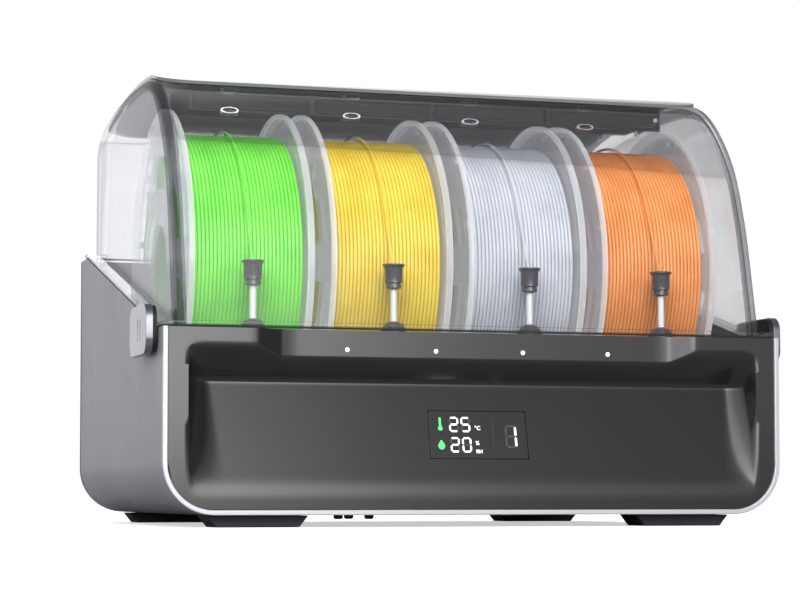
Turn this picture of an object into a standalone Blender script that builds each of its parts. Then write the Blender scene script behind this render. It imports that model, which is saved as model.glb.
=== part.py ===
"""Four-spool filament dryer box: a heated cabinet under a hinged clear lid.

Metres, +X to the right, +Y to the rear, +Z up. The origin is on the floor, under the middle of the box.
Depths named "deep" are measured back from the front plane.
"""

import math

import bmesh
import bpy
from mathutils import Matrix

# Whole box
WIDTH = 0.379
DEPTH = 0.314
HALF = WIDTH / 2
FRONT = -DEPTH / 2
REAR = DEPTH / 2
GAP = 0.0003
SHARP = math.radians(35)

# Casing: a U in front view, its top edge a seam that climbs to the rear
BODY_BOTTOM = 0.007
CORNER_RADIUS = 0.030
CORNER_STEPS = 8
SHELL_WALL = 0.0025
TRIM_WIDTH = 0.003
TRIM_DEPTH = 0.0027
SEAM_FRONT = 0.114
SEAM_REAR = 0.180
SEAM_RISE_START = 0.026
SEAM_RISE_END = 0.292
REAR_COVER_THICK = 0.0047

# Front panel: notch band on top, scooped recess below it
PANEL_FACE = 0.001
PANEL_THICK = 0.0025
PANEL_TOP = 0.1137
PANEL_LEDGE = 0.111
LEDGE_DEEP = 0.0102
NOTCH_DEPTH = 0.0055
NOTCH_INNER = 0.1199
NOTCH_OUTER = 0.1345
RECESS_TOP = 0.103
RECESS_CREASE = 0.0845
RECESS_FOOT = 0.0225
RECESS_DEPTH = 0.0165
RECESS_END_INNER = 0.154
RECESS_END_OUTER = 0.1737

# Display and status lights
WINDOW_SIZE = (0.060, 0.0015, 0.029)
WINDOW_Z = 0.054
BOARD_SIZE = (0.068, 0.0016, 0.033)
LIGHT_PITCH = 0.0537
LIGHT_Z = 0.1025
LIGHT_RADIUS = 0.00095

# Tub
TUB_HALF = HALF - SHELL_WALL - GAP
TUB_WALL = 0.003
TUB_FLOOR = 0.054
DECK_TOP = 0.1135
DECK_UNDER = 0.111
DECK_FRONT = 0.0105
BASIN_FRONT = 0.048
TUB_REAR = 0.3085
RIB_HALF = 0.0022
RIB_OUTLINE = (
    (0.050, TUB_FLOOR - 0.0005),
    (0.230, TUB_FLOOR - 0.0005),
    (0.222, 0.084),
    (0.200, 0.084),
    (0.190, 0.064),
    (0.090, 0.064),
    (0.080, 0.084),
    (0.058, 0.084),
)
BOSS_PROFILE = (
    (DECK_TOP - 0.0004, 0.0),
    (DECK_TOP - 0.0004, 0.00535),
    (0.1175, 0.00535),
    (0.1205, 0.0036),
    (0.1205, 0.0),
)

# Spools
SPOOL_PITCH = 0.086
SPOOL_DEEP = 0.140
SPOOL_Z = 0.1600
SPOOL_RADIUS = 0.099
SPOOL_HALF = 0.0380
FLANGE_THICK = 0.0025
CORE_OUTER = 0.041
CORE_INNER = 0.038
BORE_RADIUS = 0.027
WINDING_RADIUS = 0.085
SPOOL_STEPS = 32

# Rollers under the spools
ROLLER_RADIUS = 0.011
ROLLER_ANGLE = math.radians(40)
ROLLER_HALF = 0.037
TYRE_WIDTH = 0.0075
SLEEVE_RADIUS = 0.006
AXLE_RADIUS = 0.003
AXLE_HALF = 0.1855
ROLLER_STEPS = 16

# Filament path
INLET_DEEP = 0.040
FUNNEL_LOW = 0.1416
TUBE_RADIUS = 0.002
TUBE_BORE = 0.00125
TUBE_LOW = 0.104
STRAND_RADIUS = 0.000875
STRAND_LIFT = 0.0004
STRAND_START = math.radians(84)
FUNNEL_PROFILE = (
    (0.0, 0.0021),
    (0.0, 0.00475),
    (0.0026, 0.00475),
    (0.0028, 0.00555),
    (0.0122, 0.00555),
    (0.0140, 0.0069),
    (0.0147, 0.0069),
    (0.0147, 0.0061),
    (0.0125, 0.0048),
    (0.0065, 0.0021),
)
FEEDER_DEEP = 0.034
FEEDER_SIZE = (0.042, 0.020)
FEEDER_LOW = 0.060
FEEDER_TOP = 0.1107

# Lid
LID_WALL = 0.0022
LID_HALF = HALF - 0.0076
LID_DRAFT = 0.003
LID_EDGE = 0.006
LID_FOOT = 0.0016
FLANGE_TOP = 0.0036
FLANGE_FRONT = 0.0015
FLANGE_REAR = 0.3032
FLANGE_EDGE = 0.0045
CAP_HALF = 0.1750
CAP_THICK = 0.002
CAP_FRONT = 0.088
CAP_REAR = 0.290
LID_OUTLINE = (
    (0.0090, 0.1180),
    (0.0150, 0.1437),
    (0.0265, 0.1885),
    (0.0435, 0.2272),
    (0.0735, 0.2590),
    (0.1050, 0.2726),
    (0.1500, 0.2763),
    (0.2000, 0.2757),
    (0.2500, 0.2722),
    (0.2860, 0.2655),
    (0.3000, 0.2555),
    (0.3030, 0.2385),
    (0.3030, 0.1836),
)
HINGE_DEEP = 0.307
HINGE_Z = 0.1845
ROD_RADIUS = 0.0019
BARREL_RADIUS = 0.0034
LEAF_DEEPS = (0.3036, 0.3056)
LEAF_TOP = 0.200
GASKET_DEEPS = (0.006, 0.300)
GASKET_WIDTH = 0.003
GASKET_INSET = 0.0015
RAIL_HALF = 0.115
TRAY_FRONT = 0.1038
TRAY_REAR = 0.1650
TRAY_REACH = 0.1010
TRAY_STEPS = 4
TRAY_GAP = 0.0005
TRAY_HALF = 0.1555

# Latches
LATCH_DEEP = 0.041
LATCH_Z = 0.1135
LATCH_LENGTH = 0.055
LATCH_HEIGHT = 0.029
LATCH_INNER = 0.1903
LATCH_OUTER = 0.197
LATCH_PIVOT = (0.1925, 0.100)

# Air heating
FAN_X = 0.100
FAN_DEEP = 0.240
FAN_SIZE = 0.040
FAN_LOW = 0.0102
FAN_HEIGHT = 0.010
SLOT_WIDTH = 0.003
SLOT_PITCH = 0.007
SLOT_LENGTH = 0.034

# Rear fittings
SOCKET_X = 0.135
SOCKET_DEEPS = (0.298, 0.3137)
SOCKET_SIZE = (0.030, 0.022)
SOCKET_MOUTH = (0.024, 0.016)
OUTLET_X = -0.120
OUTLET_DEEP = 0.300
OUTLET_PROFILE = (
    (0.0, 0.0021),
    (0.0, 0.008),
    (0.004, 0.008),
    (0.004, 0.006),
    (0.0137, 0.006),
    (0.0137, 0.0021),
)
REAR_Z = 0.033
VENT_SIZE = (0.003, 0.022)
VENT_PITCH = 0.012

# Main board: corners, then (x, y, side, height) of its parts from the first corner
BOARD_LOW = (-0.140, FRONT + 0.110, 0.0140)
BOARD_HIGH = (-0.030, FRONT + 0.185, 0.0156)
BOARD_PARTS = (
    (0.035, 0.035, 0.016, 0.003),
    (0.065, 0.045, 0.022, 0.009),
    (0.080, 0.020, 0.010, 0.006),
)
BOARD_LEG = 0.006
BOARD_LEG_LOW = 0.0098

# Feet
FOOT_TOP_WIDTH = 0.060
FOOT_TAPER = 0.0055
FOOT_LENGTH = 0.028
FOOT_X = 0.1315
FOOT_DEEPS = {"front": 0.014, "rear": 0.272}


def at(deep):
    """World Y of a depth behind the front plane."""
    return FRONT + deep


def clamp(value):
    return min(1.0, max(0.0, value))


def seam(y):
    """Height of the seam between casing and lid."""
    share = clamp((y - at(SEAM_RISE_START)) / (SEAM_RISE_END - SEAM_RISE_START))
    return SEAM_FRONT + (SEAM_REAR - SEAM_FRONT) * share


def clear_scene():
    for item in list(bpy.data.objects):
        bpy.data.objects.remove(item, do_unlink=True)


def finish(name, colour, roughness, metallic=0.0, alpha=1.0):
    made = bpy.data.materials.new(name)
    made.use_nodes = True
    made.diffuse_color = (*colour, alpha)
    shader = made.node_tree.nodes["Principled BSDF"]
    shader.inputs["Base Color"].default_value = (*colour, 1.0)
    shader.inputs["Roughness"].default_value = roughness
    shader.inputs["Metallic"].default_value = metallic
    shader.inputs["Alpha"].default_value = alpha
    return made


# ---- Shape helpers ----


def shape_of(points, faces):
    shape = bmesh.new()
    corners = [shape.verts.new(point) for point in points]
    for face in faces:
        shape.faces.new([corners[k] for k in face])
    return shape


def place(axis, along, first, second):
    """A point from its place along an axis and its two other coordinates in X, Y, Z order."""
    if axis == "X":
        return (along, first, second)
    if axis == "Y":
        return (first, along, second)
    return (first, second, along)


def prism(outline, low, high, axis):
    """Closed extrusion of a flat outline along an axis."""
    count = len(outline)
    points = [place(axis, low, *p) for p in outline] + [place(axis, high, *p) for p in outline]
    faces = [tuple(range(count)), tuple(range(count, 2 * count))]
    for k in range(count):
        after = (k + 1) % count
        faces.append((k, after, count + after, count + k))
    return shape_of(points, faces)


def box(low, high):
    outline = ((low[0], low[1]), (high[0], low[1]), (high[0], high[1]), (low[0], high[1]))
    return prism(outline, low[2], high[2], "Z")


def turned(profile, steps, axis):
    """Solid of revolution of a closed (along, radius) profile about an axis through the origin."""
    shape = bmesh.new()
    rings = []
    for along, radius in profile:
        if radius == 0.0:
            rings.append([shape.verts.new(place(axis, along, 0.0, 0.0))] * steps)
            continue
        ring = []
        for k in range(steps):
            angle = 2 * math.pi * k / steps
            point = place(axis, along, radius * math.cos(angle), radius * math.sin(angle))
            ring.append(shape.verts.new(point))
        rings.append(ring)
    for k, ring in enumerate(rings):
        after = rings[(k + 1) % len(rings)]
        for s in range(steps):
            t = (s + 1) % steps
            corners = list(dict.fromkeys((ring[s], ring[t], after[t], after[s])))
            if len(corners) > 2:
                shape.faces.new(corners)
    return shape


def rod(radius, low, high, steps, axis):
    return turned(((low, 0.0), (low, radius), (high, radius), (high, 0.0)), steps, axis)


def rounded_rectangle(centre, size, radius, steps=4):
    """Outline of a rectangle with rounded corners."""
    points = []
    for quarter, (across, up) in enumerate(((1, 1), (-1, 1), (-1, -1), (1, -1))):
        for k in range(steps + 1):
            angle = (quarter + k / steps) * math.pi / 2
            points.append(
                (
                    centre[0] + across * (size[0] / 2 - radius) + radius * math.cos(angle),
                    centre[1] + up * (size[1] / 2 - radius) + radius * math.sin(angle),
                )
            )
    return points


def moved(shape, matrix):
    bmesh.ops.transform(shape, matrix=matrix, verts=shape.verts)
    return shape


def shifted(shape, x=0.0, y=0.0, z=0.0):
    return moved(shape, Matrix.Translation((x, y, z)))


def merged(shapes):
    """Several shapes that stay clear of each other, in one mesh."""
    whole = bmesh.new()
    for shape in shapes:
        bmesh.ops.recalc_face_normals(shape, faces=shape.faces)
        mesh = bpy.data.meshes.new("loose_shape")
        shape.to_mesh(mesh)
        shape.free()
        whole.from_mesh(mesh)
        bpy.data.meshes.remove(mesh)
    return whole


def add(name, shape, look, location=(0.0, 0.0, 0.0), smooth=False):
    """Link a shape as a named object with one material."""
    bmesh.ops.recalc_face_normals(shape, faces=shape.faces)
    mesh = bpy.data.meshes.new(name)
    shape.to_mesh(mesh)
    shape.free()
    mesh.materials.append(look)
    if smooth:
        mesh.shade_smooth()
        mesh.set_sharp_from_angle(angle=SHARP)
    made = bpy.data.objects.new(name, mesh)
    made.location = location
    bpy.context.scene.collection.objects.link(made)
    return made


def combine(target, shape, operation, label):
    """Cut a shape out of an object, or join it on."""
    tool = add(f"{target.name}_{label}", shape, target.data.materials[0])
    tool.hide_render = True
    tool.display_type = "WIRE"
    step = target.modifiers.new(label, "BOOLEAN")
    step.operation = operation
    step.solver = "EXACT"
    step.object = tool


def pivot(name, location):
    made = bpy.data.objects.new(name, None)
    made.location = location
    bpy.context.scene.collection.objects.link(made)
    return made


def hang(item, holder):
    """Parent an object that is drawn in world coordinates."""
    item.parent = holder
    item.matrix_parent_inverse = Matrix.Translation(-holder.location)


# ---- Casing ----


def u_path(inset, top):
    """Front view outline of the casing, from its left top down and round to its right top."""
    half = HALF - inset
    low = BODY_BOTTOM + inset
    radius = CORNER_RADIUS - inset
    points = [(-half, top)]
    for side, start in ((-1, math.pi), (1, 1.5 * math.pi)):
        for k in range(CORNER_STEPS + 1):
            angle = start + math.pi / 2 * k / CORNER_STEPS
            points.append(
                (side * (half - radius) + radius * math.cos(angle), low + radius + radius * math.sin(angle))
            )
    points.append((half, top))
    return points


def u_channel(stations, wall):
    """Open-topped U wall through stations of (y, top height)."""
    points = []
    for y, top in stations:
        points += [(x, y, z) for x, z in u_path(0.0, top)]
        points += [(x, y, z) for x, z in u_path(wall, top)]
    count = len(u_path(0.0, SEAM_FRONT))
    row = 2 * count
    faces = []
    for k in range(count - 1):
        for start in (0, row * (len(stations) - 1)):
            faces.append((start + k, start + k + 1, start + count + k + 1, start + count + k))
    for s in range(len(stations) - 1):
        here = s * row
        after = here + row
        for k in range(count - 1):
            for skin in (0, count):
                near = here + skin + k
                far = after + skin + k
                faces.append((near, near + 1, far + 1, far))
        for edge in (0, count - 1):
            faces.append((here + edge, after + edge, after + count + edge, here + count + edge))
    return shape_of(points, faces)


def slots(x, y, low, high):
    """A row of air slots, side by side along X."""
    cuts = []
    for k in range(-2, 3):
        left = x + k * SLOT_PITCH - SLOT_WIDTH / 2
        front = y - SLOT_LENGTH / 2
        cuts.append(box((left, front, low), (left + SLOT_WIDTH, front + SLOT_LENGTH, high)))
    return merged(cuts)


def build_casing(looks):
    shell_front = at(TRIM_DEPTH + GAP)
    shell_rear = REAR - REAR_COVER_THICK - GAP
    stations = [(y, seam(y)) for y in (shell_front, at(SEAM_RISE_START), at(SEAM_RISE_END), shell_rear)]
    shell = add("outer_shell", u_channel(stations, SHELL_WALL), looks["shell"], smooth=True)
    combine(shell, slots(FAN_X, at(FAN_DEEP), 0.004, 0.012), "DIFFERENCE", "intake")

    trim_stations = [(FRONT, SEAM_FRONT), (at(TRIM_DEPTH), SEAM_FRONT)]
    add("front_trim", u_channel(trim_stations, TRIM_WIDTH), looks["trim"], smooth=True)

    cover_front = REAR - REAR_COVER_THICK
    cover = add("rear_cover", prism(u_path(0.0, SEAM_REAR), cover_front, REAR, "Y"), looks["dark"])
    combine(cover, hinge_ears(cover_front), "UNION", "ears")
    pin_hole = rod(ROD_RADIUS + GAP, -RAIL_HALF - 0.02, RAIL_HALF + 0.02, ROLLER_STEPS, "X")
    combine(cover, shifted(pin_hole, y=at(HINGE_DEEP), z=HINGE_Z), "DIFFERENCE", "pin_hole")
    combine(cover, rear_holes(cover_front), "DIFFERENCE", "holes")


def hinge_ears(cover_front):
    """Two knuckles that hold the hinge rod over the rear cover's top edge."""
    radius = BARREL_RADIUS
    centre = at(HINGE_DEEP)
    outline = [(cover_front + 0.0002, 0.172), (REAR - 0.0002, 0.172), (REAR - 0.0002, 0.182)]
    for k in range(9):
        angle = math.pi * k / 8
        outline.append((centre + radius * math.cos(angle), HINGE_Z + radius * math.sin(angle)))
    outline += [(centre - radius, SEAM_REAR + 0.001), (cover_front + 0.0002, SEAM_REAR + 0.001)]
    inner = RAIL_HALF + 0.001
    outer = inner + 0.008
    return merged([prism(outline, inner, outer, "X"), prism(outline, -outer, -inner, "X")])


def rear_holes(cover_front):
    """Openings of the rear cover: power socket, tube outlet and a row of vents."""
    low, high = cover_front - 0.002, REAR + 0.002
    socket_size = [side + 2 * GAP for side in SOCKET_SIZE]
    cuts = [prism(rounded_rectangle((SOCKET_X, REAR_Z), socket_size, 0.002), low, high, "Y")]
    cuts.append(shifted(rod(0.006 + GAP, low, high, ROLLER_STEPS, "Y"), x=OUTLET_X, z=REAR_Z))
    for column in range(-4, 5):
        vent = rounded_rectangle((column * VENT_PITCH, REAR_Z), VENT_SIZE, 0.0014, 2)
        cuts.append(prism(vent, low, high, "Y"))
    return merged(cuts)


# ---- Front panel, display and lights ----


def panel_depth(x, z):
    """How far the panel's face lies behind the front plane."""
    side = abs(x)
    band = 0.0
    if z > RECESS_CREASE:
        band = NOTCH_DEPTH * clamp((NOTCH_OUTER - side) / (NOTCH_OUTER - NOTCH_INNER))
    slant = (RECESS_TOP - z) * RECESS_DEPTH / (RECESS_TOP - RECESS_CREASE)
    slope = (z - RECESS_FOOT) * RECESS_DEPTH / (RECESS_CREASE - RECESS_FOOT)
    reach = clamp((side - RECESS_END_INNER) / (RECESS_END_OUTER - RECESS_END_INNER))
    hollow = max(0.0, min(slant, slope)) * math.sqrt(1.0 - reach**2)
    return PANEL_FACE + max(band, hollow)


def panel_back(x, z):
    deep = panel_depth(x, z) + PANEL_THICK
    return max(deep, LEDGE_DEEP) if z >= PANEL_LEDGE - 1e-6 else deep


def panel_shape():
    """The panel as two skins over one grid, wider and lower than its final outline."""
    end_span = RECESS_END_OUTER - RECESS_END_INNER
    right = [0.0, NOTCH_INNER, NOTCH_OUTER, RECESS_END_INNER]
    right += [RECESS_END_INNER + end_span * math.sin(math.pi / 2 * k / 5) for k in range(1, 6)]
    right.append(HALF + 0.002)
    across = [-x for x in reversed(right[1:])] + right
    crossing = RECESS_TOP - NOTCH_DEPTH * (RECESS_TOP - RECESS_CREASE) / RECESS_DEPTH
    up = [BODY_BOTTOM - 0.002, RECESS_FOOT, (RECESS_FOOT + RECESS_CREASE) / 2, RECESS_CREASE]
    up += [crossing, RECESS_TOP, PANEL_LEDGE - 0.0005, PANEL_LEDGE, PANEL_TOP]
    columns, rows = len(across), len(up)
    points = [(x, at(panel_depth(x, z)), z) for z in up for x in across]
    points += [(x, at(panel_back(x, z)), z) for z in up for x in across]
    skin = columns * rows
    faces = []
    for r in range(rows - 1):
        for c in range(columns - 1):
            k = r * columns + c
            for start in (k, k + skin):
                faces.append((start, start + 1, start + columns + 1, start + columns))
    border = list(range(columns))
    border += [r * columns + columns - 1 for r in range(1, rows)]
    border += [(rows - 1) * columns + c for c in range(columns - 2, -1, -1)]
    border += [r * columns for r in range(rows - 2, 0, -1)]
    for k, here in enumerate(border):
        after = border[(k + 1) % len(border)]
        faces.append((here, after, after + skin, here + skin))
    return shape_of(points, faces)


def on_panel(size, inward):
    """A box that lies in the sloping display face, its middle this far behind the face."""
    lean = math.atan2(RECESS_DEPTH, RECESS_CREASE - RECESS_FOOT)
    half = [value / 2 for value in size]
    flat = box([-value for value in half], half)
    face = Matrix.Translation((0.0, at(panel_depth(0.0, WINDOW_Z)), WINDOW_Z))
    tilt = Matrix.Rotation(-lean, 4, "X")
    return moved(flat, face @ tilt @ Matrix.Translation((0.0, inward, 0.0)))


def light_posts(radius, near, far):
    posts = []
    for k in range(4):
        post = rod(radius, at(near), at(far), 8, "Y")
        posts.append(shifted(post, x=(k - 1.5) * LIGHT_PITCH, z=LIGHT_Z))
    return merged(posts)


def build_front(looks):
    panel = add("front_panel", panel_shape(), looks["panel"])
    outline = u_path(TRIM_WIDTH + GAP, SEAM_FRONT + 0.01)
    combine(panel, prism(outline, FRONT - 0.01, at(0.04), "Y"), "INTERSECT", "outline")
    hole = (WINDOW_SIZE[0] + 2 * GAP, 0.03, WINDOW_SIZE[2] + 2 * GAP)
    combine(panel, on_panel(hole, 0.0), "DIFFERENCE", "window_hole")
    combine(panel, light_posts(LIGHT_RADIUS + GAP, 0.001, 0.014), "DIFFERENCE", "light_holes")

    add("display_window", on_panel(WINDOW_SIZE, WINDOW_SIZE[1] / 2 - 0.0002), looks["glass"])
    add("display_board", on_panel(BOARD_SIZE, 0.0046), looks["circuit"])

    band_back = PANEL_FACE + NOTCH_DEPTH + PANEL_THICK
    strip = box((-0.090, at(band_back + GAP), 0.099), (0.090, at(band_back + 0.0022), 0.106))
    guide = add("led_light_guide", strip, looks["lens"])
    combine(guide, light_posts(LIGHT_RADIUS, 0.0063, band_back + 0.001), "UNION", "posts")


# ---- Tub, rollers and filament inlets ----


def spool_places():
    return [(k + 1, (k - 1.5) * SPOOL_PITCH) for k in range(4)]


def roller_places():
    """(name, y, z) of the two roller axles, both one roller radius clear of the spool rims."""
    reach = SPOOL_RADIUS + ROLLER_RADIUS + GAP
    z = SPOOL_Z - reach * math.cos(ROLLER_ANGLE)
    offset = reach * math.sin(ROLLER_ANGLE)
    return [("front", at(SPOOL_DEEP) - offset, z), ("rear", at(SPOOL_DEEP) + offset, z)]


def build_tub(looks):
    top = 0.0005
    outline = [(at(DECK_FRONT), DECK_TOP), (at(SEAM_RISE_START), DECK_TOP)]
    outline += [(at(SEAM_RISE_END), SEAM_REAR - top), (at(TUB_REAR), SEAM_REAR - top)]
    outline += [(at(TUB_REAR), TUB_FLOOR - TUB_WALL), (at(BASIN_FRONT - TUB_WALL), TUB_FLOOR - TUB_WALL)]
    outline += [(at(BASIN_FRONT - TUB_WALL), DECK_UNDER), (at(DECK_FRONT), DECK_UNDER)]
    tub = add("inner_tub", prism(outline, -TUB_HALF, TUB_HALF, "X"), looks["tub"])

    basin = [(at(BASIN_FRONT), TUB_FLOOR), (at(TUB_REAR - TUB_WALL), TUB_FLOOR)]
    basin += [(at(TUB_REAR - TUB_WALL), 0.2), (at(0.02), 0.2)]
    basin += [(at(0.02), DECK_TOP), (at(BASIN_FRONT), DECK_TOP)]
    inner = TUB_HALF - TUB_WALL
    combine(tub, prism(basin, -inner, inner, "X"), "DIFFERENCE", "basin")

    rib = [(at(deep), z) for deep, z in RIB_OUTLINE]
    middles = [k * SPOOL_PITCH for k in (-1, 0, 1)]
    ribs = [prism(rib, middle - RIB_HALF, middle + RIB_HALF, "X") for middle in middles]
    combine(tub, merged(ribs), "UNION", "ribs")

    bosses, bores = [], []
    for _, x in spool_places():
        bosses.append(shifted(turned(BOSS_PROFILE, ROLLER_STEPS, "Z"), x=x, y=at(INLET_DEEP)))
        bores.append(shifted(rod(TUBE_RADIUS + GAP, 0.108, 0.123, 10, "Z"), x=x, y=at(INLET_DEEP)))
    combine(tub, merged(bosses), "UNION", "bosses")
    combine(tub, merged(bores), "DIFFERENCE", "bores")

    axle_holes = []
    for _, y, z in roller_places():
        axle_holes.append(shifted(rod(AXLE_RADIUS + GAP, -HALF, HALF, 12, "X"), y=y, z=z))
    combine(tub, merged(axle_holes), "DIFFERENCE", "axle_holes")
    combine(tub, slots(FAN_X, at(FAN_DEEP), 0.048, 0.057), "DIFFERENCE", "grille")


def build_rollers(looks):
    inner = ROLLER_HALF - TYRE_WIDTH
    bore = AXLE_RADIUS + GAP
    left = [(-ROLLER_HALF, bore), (-ROLLER_HALF, ROLLER_RADIUS)]
    left += [(-inner, ROLLER_RADIUS), (-inner, SLEEVE_RADIUS)]
    profile = left + [(-x, radius) for x, radius in reversed(left)]
    for name, y, z in roller_places():
        axle = rod(AXLE_RADIUS, -AXLE_HALF, AXLE_HALF, 12, "X")
        add(f"{name}_axle", axle, looks["steel"], (0.0, y, z), True)
        for number, x in spool_places():
            shape = turned(profile, ROLLER_STEPS, "X")
            add(f"{name}_roller_{number}", shape, looks["rubber"], (x, y, z), True)


def build_spools(looks):
    inner = SPOOL_HALF - FLANGE_THICK
    half_section = [(SPOOL_HALF, BORE_RADIUS), (SPOOL_HALF, SPOOL_RADIUS)]
    half_section += [(inner, SPOOL_RADIUS), (inner, CORE_OUTER)]
    section = half_section + [(-x, r) for x, r in reversed(half_section)]
    section += [(-inner, BORE_RADIUS), (-inner, CORE_INNER), (inner, CORE_INNER), (inner, BORE_RADIUS)]
    wound = inner - GAP
    wound_low = CORE_OUTER + GAP
    ring = ((wound, wound_low), (wound, WINDING_RADIUS), (-wound, WINDING_RADIUS), (-wound, wound_low))
    for number, x in spool_places():
        centre = (x, at(SPOOL_DEEP), SPOOL_Z)
        add(f"spool_{number}", turned(section, SPOOL_STEPS, "X"), looks["clear"], centre, True)
        look = looks[f"filament_{number}"]
        add(f"winding_{number}", turned(ring, SPOOL_STEPS, "X"), look, centre, True)


def build_inlets(looks):
    top = FUNNEL_LOW - GAP
    tube = ((TUBE_LOW, TUBE_BORE), (TUBE_LOW, TUBE_RADIUS), (top, TUBE_RADIUS), (top, TUBE_BORE))
    for number, x in spool_places():
        y = at(INLET_DEEP)
        funnel = turned(FUNNEL_PROFILE, ROLLER_STEPS, "Z")
        add(f"inlet_funnel_{number}", funnel, looks["dark"], (x, y, FUNNEL_LOW), True)
        add(f"inlet_tube_{number}", turned(tube, 10, "Z"), looks["tube"], (x, y, 0.0), True)
        outline = rounded_rectangle((x, at(FEEDER_DEEP)), FEEDER_SIZE, 0.003, 2)
        made = add(f"feeder_{number}", prism(outline, FEEDER_LOW, FEEDER_TOP, "Z"), looks["dark"])
        socket = shifted(rod(TUBE_RADIUS + GAP, TUBE_LOW - GAP, 0.115, 10, "Z"), x=x, y=y)
        combine(made, socket, "DIFFERENCE", "socket")
        build_strand(number, x, looks[f"filament_{number}"])


def build_strand(number, x, look):
    """One strand of filament: over the winding's front, then straight down into the funnel and tube."""
    radius = WINDING_RADIUS + STRAND_LIFT + STRAND_RADIUS
    mouth_y, mouth_z = at(INLET_DEEP), FUNNEL_LOW + 0.011
    away = math.hypot(mouth_y - at(SPOOL_DEEP), mouth_z - SPOOL_Z)
    bearing = math.atan2(mouth_z - SPOOL_Z, mouth_y - at(SPOOL_DEEP)) % (2 * math.pi)
    leave = bearing - math.acos(radius / away)
    points = []
    for k in range(19):
        angle = STRAND_START + (leave - STRAND_START) * k / 18
        points.append((x, at(SPOOL_DEEP) + radius * math.cos(angle), SPOOL_Z + radius * math.sin(angle)))
    points += [(x, mouth_y, mouth_z), (x, mouth_y, mouth_z - 0.004), (x, mouth_y, 0.112)]
    curve = bpy.data.curves.new(f"filament_strand_{number}", "CURVE")
    curve.dimensions = "3D"
    curve.bevel_depth = STRAND_RADIUS
    curve.bevel_resolution = 2
    curve.use_fill_caps = True
    line = curve.splines.new("POLY")
    line.points.add(len(points) - 1)
    for item, point in zip(line.points, points):
        item.co = (*point, 1.0)
    curve.materials.append(look)
    made = bpy.data.objects.new(f"filament_strand_{number}", curve)
    bpy.context.scene.collection.objects.link(made)


# ---- Lid ----


def on_curve(t, a, b, c, d):
    """A Catmull-Rom curve's value between b and c."""
    square = (2 * a - 5 * b + 4 * c - d) * t**2
    cube = (3 * b - a - 3 * c + d) * t**3
    return 0.5 * (2 * b + (c - a) * t + square + cube)


def smooth_line(points, steps):
    """Catmull-Rom curve through a few points, its two end runs kept straight."""
    line = [points[0]]
    for k in range(1, len(points) - 2):
        before, start, end, after = points[k - 1 : k + 3]
        for s in range(steps):
            t = s / steps
            line.append(
                tuple(on_curve(t, *values) for values in zip(before, start, end, after))
            )
    return line + [points[-2], points[-1]]


def inset_line(points, distance):
    """The line moved inwards, to the right of its travel from front to rear."""
    moved_points = []
    for k, (y, z) in enumerate(points):
        before = points[max(k - 1, 0)]
        after = points[min(k + 1, len(points) - 1)]
        run = (after[0] - before[0], after[1] - before[1])
        length = math.hypot(*run)
        moved_points.append((y + distance * run[1] / length, z - distance * run[0] / length))
    return moved_points


def drafted(z):
    """Share of its full width that the lid has at this height."""
    return 1 - LID_DRAFT * (z - SEAM_FRONT) / (LID_OUTLINE[6][1] - SEAM_FRONT)


def lid_rows(wall, foot, steps, edge_steps):
    """Rows of points over the lid, one row for each station along X, left to right."""
    line = [(at(deep), z) for deep, z in smooth_line(LID_OUTLINE, steps)]
    rows = []
    for side in (-1, 1):
        turns = [k / edge_steps for k in range(edge_steps + 1)]
        for turn in turns if side < 0 else reversed(turns):
            angle = turn * math.pi / 2
            x = side * (LID_HALF - wall - LID_EDGE * (1 - math.cos(angle)))
            row = inset_line(line, wall + LID_EDGE * (1 - math.sin(angle)))
            row[0] = (row[0][0], seam(row[0][0]) + foot)
            row[-1] = (row[-1][0], seam(row[-1][0]) + foot)
            rows.append([(x * drafted(z), y, z) for y, z in row])
    return rows


def rim_loop(rows, foot):
    """The rows' lower ends and the seam's bends, as one loop round the lid."""
    front = [row[0] for row in rows]
    rear = [row[-1] for row in reversed(rows)]
    bends = [at(SEAM_RISE_START), at(SEAM_RISE_END)]
    right = [(front[-1][0], y, seam(y) + foot) for y in bends]
    left = [(front[0][0], y, seam(y) + foot) for y in reversed(bends)]
    return front + right + rear + left


def flange_loop(loop, edge_steps, height):
    """The flange's outer edge, point for point round a rim loop."""
    row_count = 2 * (edge_steps + 1)
    turns = [k / edge_steps for k in range(edge_steps + 1)]
    half_row = []
    for turn in turns:
        angle = turn * math.pi / 2
        x = HALF - GAP - FLANGE_EDGE * (1 - math.cos(angle))
        half_row.append((x, FLANGE_EDGE * (1 - math.sin(angle))))
    plan = [(-x, at(FLANGE_FRONT) + y) for x, y in half_row]
    plan += [(x, at(FLANGE_FRONT) + y) for x, y in reversed(half_row)]
    plan += [(HALF - GAP, point[1]) for point in loop[row_count : row_count + 2]]
    plan += [(x, at(FLANGE_REAR) - y) for x, y in half_row]
    plan += [(-x, at(FLANGE_REAR) - y) for x, y in reversed(half_row)]
    plan += [(-HALF + GAP, point[1]) for point in loop[-2:]]
    return [(x, y, seam(y) + height) for x, y in plan]


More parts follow.
